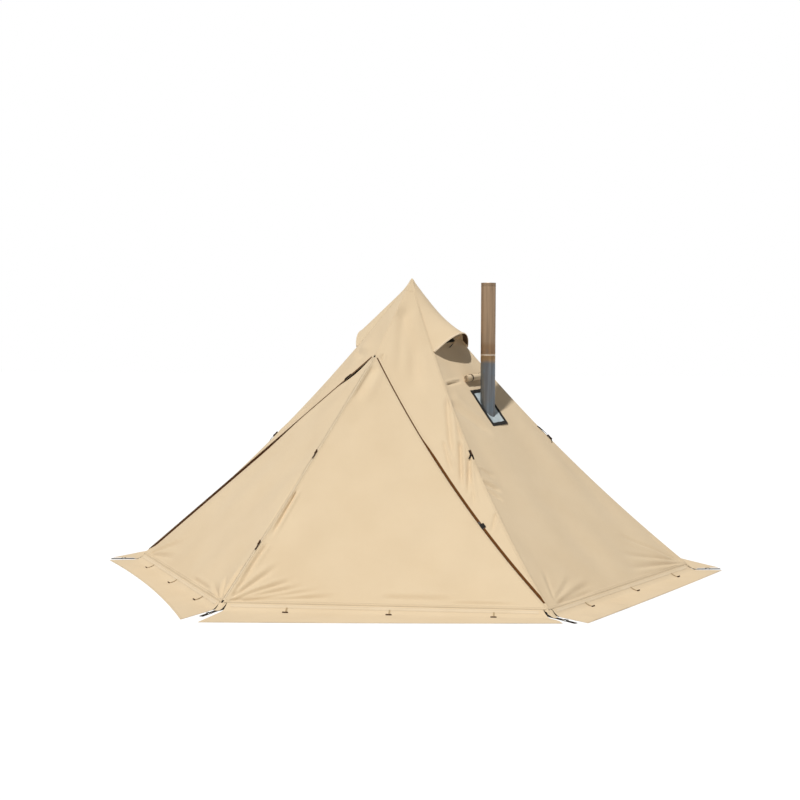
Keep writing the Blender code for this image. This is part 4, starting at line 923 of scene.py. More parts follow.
# The upper gape has a start and a reach, and the lower one a start, a rise, an end and a fall before it.
TOP_GAPE = 0.017
TOP_GAPE_RUN = (0.03, 0.33)
FOOT_GAPE = 0.021
FOOT_GAPE_RUN = (0.65, 0.5, 2.33, 0.12)
GAPE_REACH = 0.12
GAPE_DROP = 0.4
LEAF_TAPE_RUN = (0.45, 2.28)
LEAF_TAPE_WIDTH = 0.017
LEAF_TAPE_BARE = (0.005, 0.018)
LEAF_TAPE_EDGE = 0.0015
LEAF_TAPE_DEPTH = 0.0022
LEAF_TAPE_LEAN = 0.3
ZIP_TAPE_WIDTH = 0.014
ZIP_TAPE_THICKNESS = 0.0012
ZIP_TAPE_TOP_END = 0.03
ZIP_TAPE_FOOT_END = 0.055
ZIP_TAPE_FOOT_SHARE = 0.55
ZIP_TAPE_TAPER = 0.07
FRONT_SLIDER_SHARE = 0.659
LEFT_SLIDER_SHARE = 0.9
SLIDER_LENGTH = 0.022
SLIDER_WIDTH = 0.01
SLIDER_HEIGHT = 0.006
SLIDER_NOSE = 0.72
SLIDER_CROWN = 0.8
SLIDER_GAP = 0.0009
SLIDER_BEVEL = 0.0012
PULL_BEVEL = 0.0006
# The front slider's tab is wider on the side away from the leaf.
SLIDER_TABS = {"front": ((0.014, -0.008, 0.0015), (0.048, 0.022, 0.0065)),
               "left": ((0.014, -0.006, 0.0015), (0.048, 0.006, 0.0065))}
PULL_WIDTH = 0.009
PULL_THICKNESS = 0.002
PULL_OUTLINE = ((0.002, 0.3), (0.012, 0.42), (0.022, 0.5), (0.044, 0.42), (0.052, 0.3), (0.056, 0.16))
TOOTH_PITCH = 0.004
TOOTH_SIZE = (0.0022, 0.0044, 0.0016)
TOOTH_RISE = 0.0006
ZIP_TAPE_SPREAD = 0.005
ZIP_FLAP_END = 1.36
ZIP_FLAP_LAP = 0.02
ZIP_FLAP_LOW = 0.0085
ZIP_FLAP_HIGH = 0.026
ZIP_FLAP_WIDTH = 0.0175
ZIP_FLAP_THICKNESS = 0.0002
ZIP_FLAP_LIFT = 0.00018
ZIP_FLAP_NARROWING = 0.009
ZIP_FLAP_FALL = 0.001


def leaf_outline(surface, gaps):
    corners = np.array((surface.spot(0, 1, 0), surface.spot(0, 0, 1), surface.spot(1, 0, 0)))
    return inset(corners, gaps)


def hip_frame(place, along, inward):
    """X across the hip, Y up along it and Z out of the tent."""
    along = unit(along)
    out = -square_to(inward, along)
    return placed(Vector(np.cross(along, out)), Vector(along), Vector(out), Vector(place))


def door_hip(share):
    along = DOOR_TOP - FRONT_LEFT + DOOR_SAG * (4 - 8 * share)
    place = FRONT_LEFT + (DOOR_TOP - FRONT_LEFT) * share + DOOR_SAG * (4 * share * (1 - share))
    return hip_frame(place, along, DOOR_SAG)


def slack_zip_edge(spots):
    """The left leaf's zip edge hangs back: it gapes near its top and stands a little open lower down."""
    top, left = LEAF_LEFT.flat[0], LEAF_LEFT.flat[1]
    away = outward(top, left)
    inside = (top - spots) @ away
    along = (spots - top) @ unit(left - top)
    start, reach = TOP_GAPE_RUN
    gape = TOP_GAPE * np.sin(math.pi * np.clip((along - start) / reach, 0, 1)) ** 1.3
    start, rise, stop, fall = FOOT_GAPE_RUN
    gape += FOOT_GAPE * smooth((along - start) / rise) * smooth((stop - along) / fall)
    pulled = gape * (1 - smooth(inside / GAPE_REACH))
    return spots - away * pulled[:, None], -GAPE_DROP * pulled


def dress_leaf_tape():
    """The left leaf's half of the zip, which shows as a dark band where the leaf hangs back. Its tape is a
    darker copy of the zip tape: painted shade for the gap.
    """
    top, left = LEAF_LEFT.flat[0], LEAF_LEFT.flat[1]
    away = outward(top, left)
    along = unit(left - top)
    start, stop = LEAF_TAPE_RUN

    def shape(spots):
        run = start + (stop - start) * spots[:, 1]
        wide = LEAF_TAPE_BARE[0] + LEAF_TAPE_BARE[1] * smooth((run - 0.6) / 0.5)
        inside = LEAF_TAPE_EDGE + wide * spots[:, 0]
        flat = top + along * run[:, None] - away * inside[:, None]
        return LEAF_LEFT.place(flat, -LEAF_TAPE_DEPTH - LEAF_TAPE_LEAN * inside)

    tape = mapped("zip_tape_leaf_left", (3, 160), shape, "zip_dark", "door_leaf_left", "zip", (),
                  ZIP_TAPE_THICKNESS, (LEAF_TAPE_WIDTH, stop - start))


def dress_leaves(wave):
    sides = (("front", LEAF_FRONT, (0.0, LEAF_ZIP_INSET, LEAF_HIP_INSET), LEAF_FOLDS, 21, None),
             ("left", LEAF_LEFT, (0.0, LEAF_HIP_INSET, LEAF_ZIP_INSET), LEFT_LEAF_FOLDS, 22, slack_zip_edge))
    for side, surface, gaps, folds, seed, drawn in sides:
        tailored(f"door_leaf_{side}_cloth", surface, leaf_outline(surface, gaps), f"door_leaf_{side}",
                 [f"door_leaf_{side}"], sewn={0: HEM_WIDTH, 1: SEWN_WIDTH, 2: SEWN_WIDTH}, folds=folds,
                 wave=(seed, LEAF_WAVE_REACH, wave), cell=FINE_CELL, drawn=drawn)


def dress_toggle_tail(i, share, reach):
    """The strap below a door toggle, which lies along the hip strip and curls up at its end."""
    def shape(spots):
        places = []
        for across, along in spots:
            rise = HIP_TAPE_THICKNESS / 2 - HIP_TAPE_DEPTH + TAIL_CLEAR
            rise += TAIL_KNOT_RISE * (1 - along) ** 2 + TAIL_CURL * along ** 3
            spot = Vector(((across - 0.5) * TOGGLE_STRAP_WIDTH, 0, rise))
            places.append(door_hip(share - TOGGLE_TAIL * along / reach) @ spot)
        return places

    mapped(f"door_toggle_tail_{i}", (2, 16), shape, "webbing", "tent", "webbing", (), TAIL_THICKNESS,
           (TOGGLE_STRAP_WIDTH, TOGGLE_TAIL))


def dress_hip_tape():
    """The strip between the leaves, and its two toggles on their loops."""
    reach = float(np.linalg.norm(DOOR_TOP - FRONT_LEFT))
    end = HIP_TAPE_END / reach

    def shape(spots):
        places = []
        for across, share in spots:
            frame_at = door_hip(end + (1 - 2 * end) * share)
            side = (across - 0.5) * 2
            rise = HIP_TAPE_CROWN * (1 - side * side) - HIP_TAPE_DEPTH
            places.append(frame_at @ Vector((side * HIP_TAPE_WIDTH / 2, 0, rise)))
        return places

    tape = mapped("door_hip_tape_cloth", (4, 120), shape, "binding", "tent", "canvas", ["door_hip_tape"],
                  HIP_TAPE_THICKNESS, (HIP_TAPE_WIDTH, reach))
    for i, share in enumerate(DOOR_TOGGLE_SHARES):
        frame_at = door_hip(share)
        place = frame_at @ Matrix.Translation((0, 0, DOOR_TOGGLE_RISE)) @ Matrix.Rotation(math.pi / 2, 4, "X")
        toggle = bar(TOGGLE_LENGTH, DOOR_TOGGLE_RADIUS, place)
        solid(f"door_toggle_{i}", toggle, "toggle", "tent", "webbing")
        dress_toggle_tail(i, share, reach)
        half = LOOP_WIDTH / 2
        loop = slab((-half, -half, -HIP_TAPE_DEPTH), (half, half, DOOR_TOGGLE_RISE), frame_at)
        solid(f"door_toggle_loop_{i}", loop, "webbing", "tent", "webbing", bevel=LOOP_BEVEL)


def zip_run(name, surface):
    """Where a zip's tape starts and stops along its wall's lower edge."""
    ends = (ZIP_TAPE_TOP_END, ZIP_TAPE_FOOT_END)
    near, far = ends if name == "front" else reversed(ends)
    return surface.flat[1, 0] + near, surface.flat[2, 0] - far


def dress_zip_flap(surface, start, lift):
    """A thin facing that covers half of the front zip's tape down to the hip's crease, under the slider."""
    def shape(spots):
        along = start - ZIP_FLAP_LAP + (ZIP_FLAP_END - start + ZIP_FLAP_LAP) * spots[:, 1]
        low = ZIP_FLAP_LOW + ZIP_FLAP_NARROWING * smooth((spots[:, 1] - 0.8) / 0.2)
        out = low + (ZIP_FLAP_HIGH - low) * spots[:, 0]
        # Past the tape's edge it comes down to the wall.
        fall = ZIP_FLAP_FALL * smooth((spots[:, 0] - 0.5) / 0.3)
        return surface.place(paired(along, out), lift + ZIP_TAPE_THICKNESS / 2 + ZIP_FLAP_LIFT - fall)

    size = (ZIP_FLAP_WIDTH, ZIP_FLAP_END - start)
    flap = mapped("zip_flap_front", (5, 140), shape, "canvas", "tent", "canvas", (), ZIP_FLAP_THICKNESS, size)


def zip_teeth(surface, start, stop, lift):
    """The coil's teeth, each across the zip's closing edge."""
    teeth = bmesh.new()
    for i in range(int((stop - start) / TOOTH_PITCH)):
        spot = (start + TOOTH_PITCH * (i + 0.5), 2 * SEAM_GAP + TOOTH_SIZE[0])
        turn = surface.frame(spot, lift)
        made = bmesh.ops.create_cube(teeth, size=1)["verts"]
        bmesh.ops.transform(teeth, matrix=turn @ Matrix.Diagonal((*TOOTH_SIZE, 1)), verts=made)
    return teeth


def slider_body(frame_at):
    """A block that narrows toward its nose and its top."""
    body = bmesh.new()
    bmesh.ops.create_cube(body, size=1)
    for vert in body.verts:
        tip = SLIDER_NOSE if vert.co.x < 0 else 1.0
        top = SLIDER_CROWN if vert.co.z > 0 else 1.0
        vert.co = frame_at @ Vector((vert.co.x * SLIDER_LENGTH * top, vert.co.y * SLIDER_WIDTH * tip,
                                     (vert.co.z + 0.5) * SLIDER_HEIGHT))
    bmesh.ops.recalc_face_normals(body, faces=body.faces)
    return body


def slider_pull(frame_at):
    """A flat leaf-shaped pull, the same on both sides of its middle line."""
    pull = bmesh.new()
    rim = [(x, share * PULL_WIDTH) for x, share in PULL_OUTLINE]
    rim += [(x, -y) for x, y in reversed(rim)]
    face = pull.faces.new([pull.verts.new(frame_at @ Vector((x, y, SLIDER_HEIGHT / 2))) for x, y in rim])
    grown = bmesh.ops.extrude_face_region(pull, geom=[face])["geom"]
    rise = frame_at.to_3x3() @ Vector((0, 0, PULL_THICKNESS))
    top = [item for item in grown if isinstance(item, bmesh.types.BMVert)]
    bmesh.ops.translate(pull, verts=top, vec=rise)
    bmesh.ops.recalc_face_normals(pull, faces=pull.faces)
    return pull


def dress_zip(name, surface, share):
    start, stop = zip_run(name, surface)
    lift = CANVAS / 2 + LAY_GAP + ZIP_TAPE_THICKNESS / 2
    low = 2 * SEAM_GAP

    def shape(spots):
        along = start + (stop - start) * spots[:, 1]
        wide = ZIP_TAPE_WIDTH + ZIP_TAPE_SPREAD * smooth((along - ZIP_FLAP_END + 0.2) / 0.3)
        foot = stop - along if name == "front" else along - start
        wide = wide * (ZIP_TAPE_FOOT_SHARE + (1 - ZIP_TAPE_FOOT_SHARE) * smooth(foot / ZIP_TAPE_TAPER))
        return surface.place(paired(along, low + wide * (1 - spots[:, 0])), lift)

    tape = mapped(f"zip_tape_{name}_cloth", (2, 240), shape, "zip", "tent", "zip", [f"zip_tape_{name}"],
                  ZIP_TAPE_THICKNESS, (ZIP_TAPE_WIDTH, stop - start))
    teeth = zip_teeth(surface, start, stop, lift + ZIP_TAPE_THICKNESS / 2 + TOOTH_RISE)
    solid(f"zip_teeth_{name}", teeth, "zip_coil", "tent", "zip")
    if name == "front":
        dress_zip_flap(surface, start, lift)
    spot = np.array((surface.flat[1, 0] + surface.width * share, low + ZIP_TAPE_WIDTH / 2))
    turn = 0.0 if name == "front" else math.pi
    frame_at = surface.frame(spot, CANVAS / 2 + LAY_GAP + ZIP_TAPE_THICKNESS + SLIDER_GAP, turn)
    slider = f"zip_slider_{name}"
    tab = slab(*SLIDER_TABS[name], frame_at)
    solid(f"{slider}_body", slider_body(frame_at), "zip_metal", slider, "zip_metal", [slider],
          bevel=SLIDER_BEVEL)
    solid(f"{slider}_tab", tab, "black_fabric", slider, "zip_metal", bevel=SLIDER_BEVEL)
    solid(f"{slider}_pull", slider_pull(frame_at), "zip_metal", slider, "zip_metal", bevel=PULL_BEVEL)


# Skirts

HINGE_DROP = 0.001
GROUND_GAP = 0.0006
SKIRT_DROP_RUN = 0.075
SKIRT_START = 0.035
SKIRT_FORMS = {
    "front": ((0.39, 0.05), 0.3, (0.19, 0.08)),
    "right": ((0.28, 0.03), 0.26, (0.22, 0.1)),
    "left": ((0.25, 0.03), 0.23, (0.31, 0.2)),
}
SKIRT_OF_WALL = {"front": "front", "right": "right", "back_right": "left", "back": "front",
                 "back_left": "right", "left": "left"}
WEBBING_START = 0.006
WEBBING_WIDTH = 0.02
WEBBING_THICKNESS = 0.0015
WEBBING_END = 0.06
TOGGLE_SPACING = 0.63
TOGGLE_SHIFT = 0.04
TOGGLE_STRAP_LENGTH = 0.055
TOGGLE_STRAP_LAP = 0.004
TOGGLE_STRAP_STEP = 0.0016
TOGGLE_STRAP_BOW = 0.002
SKIRT_BUMPS = 9
# The least and the most of each lump's middle, half width and lean along the skirt, and of its height.
SKIRT_BUMP_RANGES = ((0.03, 0.97), (0.02, 0.07), (-0.25, 0.25), (0.4, 1.0))
STRAP_WIDTH = 0.025
STRAP_THICKNESS = 0.0025
STRAP_REACH = 0.24
STRAP_DROP_RUN = 0.06
STRAP_HEAD = 0.02
STRAP_COVER = 0.07
COVER_GAP = 0.003
COVER_EASE = 0.001
COVER_FALL = 1.2
COVER_LIFT = 0.0003
RING_RADIUS = 0.0165
RING_WIRE = 0.002
RING_SHARE = 0.62
RING_RISE = 0.0022
RING_STEPS = 32
WIRE_STEPS = 10


class Ground:
    """Cloth that drops from an edge and lies on the ground. Spots are along the edge and outward from it."""

    def __init__(self, edge, out, thickness, run):
        self.edge = edge
        self.out = out
        self.along = np.cross(UP, out)
        self.drop = edge[2] - GROUND_GAP - thickness / 2
        self.run = run

    def place(self, spots, lift=0.0):
        spots = np.atleast_2d(spots)
        left = np.clip(1 - spots[:, 1] / self.run, 0.0, 1.0)[:, None]
        slope = np.where(spots[:, [1]] > 0, 2 * self.drop * left / self.run, 0.0)
        fall = UP * (self.drop * (left * left - 1))
        raised = unit(UP + self.out * slope) * np.broadcast_to(lift, len(spots))[:, None]
        return self.edge + self.along * spots[:, [0]] + self.out * spots[:, [1]] + fall + raised


class Skirt(Ground):
    """The sod cloth outside one hem."""

    def __init__(self, wall):
        out = heading(WALLS[wall][2])
        hem = out * APOTHEM + UP * HEM_HEIGHT
        super().__init__(hem + unit(hem - PEAK) * HINGE_DROP, out, CANVAS, SKIRT_DROP_RUN)
        self.left, self.middle, self.right = SKIRT_FORMS[SKIRT_OF_WALL[wall]]

    def width(self, share):
        straight = self.left[0] * (1 - share) + self.right[0] * share
        bulge = self.middle - (self.left[0] + self.right[0]) / 2
        return straight + 4 * bulge * share * (1 - share)

    def tip(self, side):
        width, reach = self.left if side < 0 else self.right
        return np.array((side * (HALF_SIDE + reach), width))

    def spread(self, spots):
        """Spots from 0 to 1 along the skirt and outward from it, turned into its own."""
        share = spots[:, 0]
        rim = self.width(share)
        out = rim * spots[:, 1]
        ends = []
        for side in (-1, 1):
            start = side * (HALF_SIDE - SKIRT_START)
            ends.append(start + (self.tip(side)[0] - start) * spots[:, 1])
        return paired(ends[0] * (1 - share) + ends[1] * share, out)


def dress_skirt(wall, seed, ripple):
    surface = Skirt(wall)
    body = f"skirt_{wall}"
    dice = np.random.default_rng(seed)
    bumps = [[dice.uniform(*span) for span in SKIRT_BUMP_RANGES] for _ in range(SKIRT_BUMPS)]

    def shape(spots):
        flat = surface.spread(spots)
        lift = np.zeros(len(spots))
        for middle, wide, lean, height in bumps:
            side = (spots[:, 0] - middle - lean * (spots[:, 1] - 0.4) * 0.2) / wide
            lift += ripple * height * np.exp(-side * side) * smooth((spots[:, 1] - 0.2) / 0.5)
        lift *= 1 - 0.85 * smooth((spots[:, 1] - 0.8) / 0.2)
        return surface.place(flat, lift)

    def margins(spots):
        flat = surface.spread(spots)
        return paired((1 - spots[:, 1]) * surface.middle, flat[:, 0])

    width = 2 * HALF_SIDE + surface.left[1] + surface.right[1]
    piece = mapped(f"skirt_{wall}_cloth", (150, 36), shape, "skirt", body, "canvas", [f"skirt_{wall}"],
                   CANVAS, (width, surface.middle), margins)
    dress_hem(wall, surface, body)


def dress_hem(wall, surface, body):
    """The canvas strip along the top of the skirt, and its three loops with toggle bars."""
    inner = HALF_SIDE - WEBBING_END
    lift = CANVAS / 2 + LAY_GAP + WEBBING_THICKNESS / 2

    def shape(spots):
        along = -inner + 2 * inner * spots[:, 1]
        out = WEBBING_START + WEBBING_WIDTH * spots[:, 0]
        edge = smooth(spots[:, 0] / 0.3) * smooth((1 - spots[:, 0]) / 0.3)
        return surface.place(paired(along, out), CANVAS / 2 + LAY_GAP * edge)

    strip = mapped(f"hem_strip_{wall}", (8, 90), shape, "binding", body, "canvas", [f"hem_webbing_{wall}"],
                   WEBBING_THICKNESS, (WEBBING_WIDTH, 2 * inner))
    for i, step in enumerate((-1, 0, 1)):
        middle = TOGGLE_SHIFT + step * TOGGLE_SPACING
        start = WEBBING_START + WEBBING_WIDTH - TOGGLE_STRAP_LAP

        def tongue(spots):
            along = middle + (spots[:, 0] - 0.5) * TOGGLE_STRAP_WIDTH
            out = start + (TOGGLE_STRAP_LENGTH + TOGGLE_STRAP_LAP) * spots[:, 1]
            rise = TOGGLE_STRAP_STEP * smooth((0.2 - spots[:, 1]) / 0.2)
            rise += TOGGLE_STRAP_BOW * np.sin(math.pi * spots[:, 1])
            return surface.place(paired(along, out), lift + rise)

        mapped(f"hem_loop_{wall}_{i}", (2, 16), tongue, "tab", body, "webbing", (), WEBBING_THICKNESS,
               (TOGGLE_STRAP_WIDTH, TOGGLE_STRAP_LENGTH))
        spot = np.array((middle, start + TOGGLE_STRAP_LAP + TOGGLE_STRAP_LENGTH))
        place = Vector(surface.place(spot, CANVAS / 2 + LAY_GAP + TOGGLE_RADIUS)[0])
        turn = placed(Vector(surface.out), Vector(UP), Vector(surface.along), place)
        toggle = bar(TOGGLE_LENGTH, TOGGLE_RADIUS, turn)
        solid(f"hem_toggle_{wall}_{i}", toggle, "toggle", body, "webbing")


def dress_corner_strap(corner):
    """The pegging strap on the ground at a corner, with its steel ring."""
    place = corner_point(corner)
    tips = []
    starts = []
    walls = []
    for wall, (left, right, degrees) in WALLS.items():
        if corner in (left, right):
            walls.append(heading(degrees))
            surface = Skirt(wall)
            side = -1 if corner == left else 1
            tips.append(surface.place(surface.tip(side))[0])
            starts.append(surface.place(np.array((side * (HALF_SIDE - SKIRT_START), 0.0)))[0])
    middle = (tips[0] + tips[1]) / 2 - place
    out = unit(middle * (1, 1, 0))
    edge = place - UP * (CANVAS / 2 + SEAM_GAP + STRAP_THICKNESS / 2)
    surface = Ground(edge, out, STRAP_THICKNESS, STRAP_DROP_RUN)
    reach = STRAP_REACH + STRAP_HEAD

    def shape(spots):
        along = (spots[:, 0] - 0.5) * STRAP_WIDTH
        return surface.place(paired(along, reach * spots[:, 1] - STRAP_HEAD))

    strap = mapped(f"corner_strap_{corner}_web", (4, 60), shape, "strap", "tent", "webbing",
                   [f"corner_strap_{corner}"], STRAP_THICKNESS, (STRAP_WIDTH, reach))

    low, high = sorted(float((start - place) @ surface.along) for start in starts)
    width = high - low - 2 * COVER_GAP
    edge = STRAP_WIDTH / 2 + COVER_EASE

    def cover(spots):
        """It starts along both hems, drops as the skirts do and lies over the strap."""
        head = low + COVER_GAP + width * spots[:, 0]
        hems = []
        for wall in walls:
            hems.append((COVER_GAP / 2 - head * float(surface.along @ wall)) / float(surface.out @ wall))
        along = head * (1 - spots[:, 1]) + edge * (2 * spots[:, 0] - 1) * spots[:, 1]
        out = np.minimum(*hems) * (1 - spots[:, 1]) + STRAP_COVER * spots[:, 1]
        laid = surface.place(paired(along, out), (STRAP_THICKNESS + CANVAS) / 2 + COVER_LIFT)
        ridge = laid[:, 2] - COVER_FALL * np.maximum(np.abs(along) - edge - COVER_EASE, 0)
        away = np.max([(laid - place) @ wall for wall in walls], axis=0)
        left = np.clip(1 - away / SKIRT_DROP_RUN, 0, 1)
        floor = GROUND_GAP + CANVAS / 2
        laid[:, 2] = np.maximum(ridge, (HEM_HEIGHT - HINGE_DROP - floor) * left * left + floor)
        return laid

    point = mapped(f"corner_cover_{corner}", (16, 30), cover, "skirt", "tent", "canvas", (), CANVAS,
                   (high - low, STRAP_COVER))
    spot = np.array((0.0, STRAP_REACH * RING_SHARE))
    ring_place = Vector(surface.place(spot, STRAP_THICKNESS / 2 + RING_RISE)[0])
    wire = oval(RING_RADIUS, RING_WIRE, RING_WIRE, WIRE_STEPS)
    ring = turned(wire, Matrix.Translation(ring_place), RING_STEPS)
    solid(f"corner_ring_{corner}", ring, "ring", "tent", "steel")


# Hip ties

TIE_SHARE = 0.47
TIE_LENGTH = 0.05
TIE_WIDTH = 0.02
TIE_THICKNESS = 0.002
TIE_GAP = 0.0013
TIE_BEVEL = 0.0008
TIE_BAR_RADIUS = 0.005
TIE_BAR_LENGTH = 0.045
# How long each hip's own tail is. The right one lies up the hip.
TIE_TAILS = {"front_right": 0.055, "right": -0.12, "back_right": 0.06, "back_left": 0.06, "left": 0.07}
TIE_SHORT_TAIL = (0.045, -0.5)
TIE_TAIL_WIDTH = 0.012
TIE_TAIL_LEAN = 0.06
TIE_TAIL_KNOT_RISE = 0.006
TIE_TAIL_BOW = 0.004
TIE_TAIL_FALL = 0.5


def dress_tie(corner):
    """A webbing tie knotted on its bar, with a tail that lies down the hip."""
    foot = corner_point(corner)

    def hip_at(share):
        place = foot * (1 - share) + PEAK * share + hip_sag(corner) * (4 * share * (1 - share))
        return hip_frame(place, PEAK - foot + hip_sag(corner) * (4 - 8 * share), hip_inward(corner))

    frame_at = hip_at(TIE_SHARE)
    low = (-TIE_WIDTH / 2, -TIE_LENGTH / 2, TIE_GAP)
    high = (TIE_WIDTH / 2, TIE_LENGTH / 2, TIE_GAP + TIE_THICKNESS)
    solid(f"hip_tie_{corner}_patch", slab(low, high, frame_at), "strap", "tent", "webbing",
          [f"hip_tie_{corner}"], bevel=TIE_BEVEL)
    rise = TIE_GAP + TIE_THICKNESS + TIE_BAR_RADIUS
    turn = frame_at @ Matrix.Translation((0, 0, rise)) @ Matrix.Rotation(math.pi / 2, 4, "X")
    solid(f"hip_tie_{corner}_bar", bar(TIE_BAR_LENGTH, TIE_BAR_RADIUS, turn), "toggle", "tent", "webbing")
    reach = float(np.linalg.norm(PEAK - foot))
    for i, (length, lean) in enumerate(((TIE_TAILS[corner], TIE_TAIL_LEAN), TIE_SHORT_TAIL)):
        def tail(spots):
            places = []
            for across, along in spots:
                frame_here = hip_at(TIE_SHARE - length * along * math.cos(lean) / reach)
                side = (across - 0.5) * TIE_TAIL_WIDTH + lean * length * along
                # The cloth falls away on either side of the hip, and the tail bows clear of it.
                height = TIE_GAP + TIE_TAIL_KNOT_RISE * (1 - along) + TIE_TAIL_BOW * math.sin(3.0 * along)
                places.append(frame_here @ Vector((side, 0, height - TIE_TAIL_FALL * abs(side) * along)))
            return places

        mapped(f"hip_tie_{corner}_tail_{i}", (2, 14), tail, "strap", "tent", "webbing", (), TAIL_THICKNESS,
               (TIE_TAIL_WIDTH, abs(length)))


# Vents

MESH_THICKNESS = 0.0008
HOOD_FOOT_SHARE = 0.777
HOOD_LIP_OUT = 0.09
HOOD_LIP_UP = 0.12
HOOD_INSET = 0.0005
HOOD_TOP_SHARE = 0.9
HOOD_WIDTH = 0.02
HOOD_FILL = {"right": 0.0, "left": 1.0}
HOOD_WAVE = (41, 0.2, 0.004)
HOOD_PRESSED = 0.0008
HOOD_PRESSED_REACH = 0.012
LIP_INSET = 0.004
LIP_PUFF = 0.0048
LIP_SINK = 0.0008
LIP_OVERHANG = 0.003
LINING_WIDTH = 0.05
LINING_THICKNESS = 0.0006
LINING_START = 0.16
LINING_END = 0.92
LINING_INSET = 0.002
LINING_GAP = 0.0003


def hood_surface(wall, surface):
    lift = CANVAS + LAY_GAP
    share = HOOD_FOOT_SHARE
    left, right, middle = WALLS[wall]
    spots = (surface.spot(1, 0, 0), surface.spot(share, 1 - share, 0), surface.spot(share, 0, 1 - share))
    points = [surface.place(spot, lift)[0] for spot in spots]
    lip = heading(middle) * HOOD_LIP_OUT + UP * HOOD_LIP_UP
    shorter = (1 - share) * (1 - share)
    return Wall(*points, hip_sag(left) * shorter, lip, hip_sag(right) * shorter)


def dress_hood_shade_tape(name, hood, outline, filled):
    """Brown tape inside either end of a hood's lip. Its dark brown is partly a binding's own colour and
    partly painted shade: a dark sheet where the hood's inside lies in shade.
    """
    left, right = hood.flat[1, 0], hood.flat[2, 0]
    everywhere = dict.fromkeys(range(4), SEWN_WIDTH)
    for i, side in enumerate((-1, 1)):
        def inner(spots):
            out = LINING_INSET + LINING_WIDTH * spots[:, 0]
            share = LINING_START + (LINING_END - LINING_START) * spots[:, 1]
            along = ((left + right) / 2 + side * share * (right - left) / 2) * (1 - out / hood.height)
            flat = paired(along, out)
            inside, _ = edge_runs(flat, outline, everywhere)
            relief = billow(flat, *HOOD_WAVE) * smooth(inside / WAVE_EASE) + filled(flat)
            return hood.place(flat, relief - (CANVAS + LINING_THICKNESS) / 2 - LINING_GAP)

        reach = (LINING_END - LINING_START) * (right - left) / 2
        tape = mapped(f"vent_hood_{name}_lining_{i}", (8, 30), inner, "lining", "tent", "webbing", (),
                      LINING_THICKNESS, (LINING_WIDTH, reach))


def dress_vent(name, wall, surface):
    """Netting in the vent, and the hood above it with its bound lip."""
    tailored(f"vent_mesh_{name}_cloth", surface, vent_outline(surface, SEAM_GAP), "tent",
             [f"vent_mesh_{name}"], "mesh", "mesh", thickness=MESH_THICKNESS)
    hood = hood_surface(wall, surface)
    rest = 1 - HOOD_TOP_SHARE
    corners = np.array((hood.spot(0, 1, 0), hood.spot(0, 0, 1), hood.spot(HOOD_TOP_SHARE, 0, rest),
                        hood.spot(HOOD_TOP_SHARE, rest, 0)))
    outline = inset(corners, (0, HOOD_INSET, 0, HOOD_INSET))

    def filled(spots):
        """How far a taut hood stands out past the slack one."""
        shares = hood.shares(spots)
        down = np.clip(1 - shares[:, 0], 1e-6, 1)
        across = 4 * shares[:, 1] * shares[:, 2] / (down * down)
        full = np.clip((down - rest) / (1 - rest) - down * down, 0, 1)
        return HOOD_FILL[name] * math.hypot(HOOD_LIP_OUT, HOOD_LIP_UP) * across * full

    def sewn_down(spots):
        """The hood's sides are sewn flat to the wall."""
        beside, _ = edge_runs(spots, outline, {1: SEWN_WIDTH, 3: SEWN_WIDTH})
        return spots, filled(spots) - HOOD_PRESSED * (1 - smooth(beside / HOOD_PRESSED_REACH))

    tailored(f"vent_hood_{name}_cloth", hood, outline, "tent", [f"vent_hood_{name}"], sewn={0: HOOD_WIDTH},
             cell=HOOD_CELL, drawn=sewn_down, wave=HOOD_WAVE)
    dress_hood_shade_tape(name, hood, outline, filled)
    left, right = hood.flat[1, 0], hood.flat[2, 0]

    def lip(spots):
        along = left + LIP_INSET + (right - left - 2 * LIP_INSET) * spots[:, 1]
        out = HOOD_WIDTH * spots[:, 0] - LIP_OVERHANG
        rise = CANVAS + LIP_PUFF * np.sin(math.pi * spots[:, 0]) - LIP_SINK
        return hood.place(paired(along, out), rise)

    band = mapped(f"vent_hood_{name}_binding", (6, 70), lip, "binding", "tent", "canvas", (), CANVAS,
                  (HOOD_WIDTH, right - left))


# Chimney hole and its flap

JACK_LAP = 0.012
JACK_THICKNESS = 0.0015
JACK_HOLE_GAP = 0.0016
JACK_HOLE_SIDES = 32
BINDING_WIDTH = 0.026
BINDING_ROUGHNESS = 0.0009
BINDING_PUFF = 0.0008
BINDING_CROSSING = 0.0004
BINDING_CELL = 0.006
ROLL_RISE = 0.0885
ROLL_SIDE = 0.065
ROLL_RADIUS = 0.024
ROLL_LENGTH = 0.25
ROLL_TURNS = 3.6
ROLL_CORE = 0.005
ROLL_SLACK = 0.035
ROLL_SLUMP = 0.05
ROLL_UNEVEN = 0.012
ROLL_MEAN_SHARE = 0.6
ROLL_TIE_SHARES = (0.24, 0.78)
ROLL_TIE_GAP = 0.0016
ROLL_TIE_HALF_THICKNESS = 0.0008
ROLL_TIE_HALF_WIDTH = 0.006
ROLL_TIE_SIDES = 8
CHIMNEY_SHARE = 0.5916
CHIMNEY_SIDE = 0.0175
CHIMNEY_RADIUS = 0.0515


def chimney_axis():
    middle = RIGHT_WALL.place(np.array((CHIMNEY_SIDE, CHIMNEY_SHARE * RIGHT_WALL.height)))[0]
    return middle * (1, 1, 0)


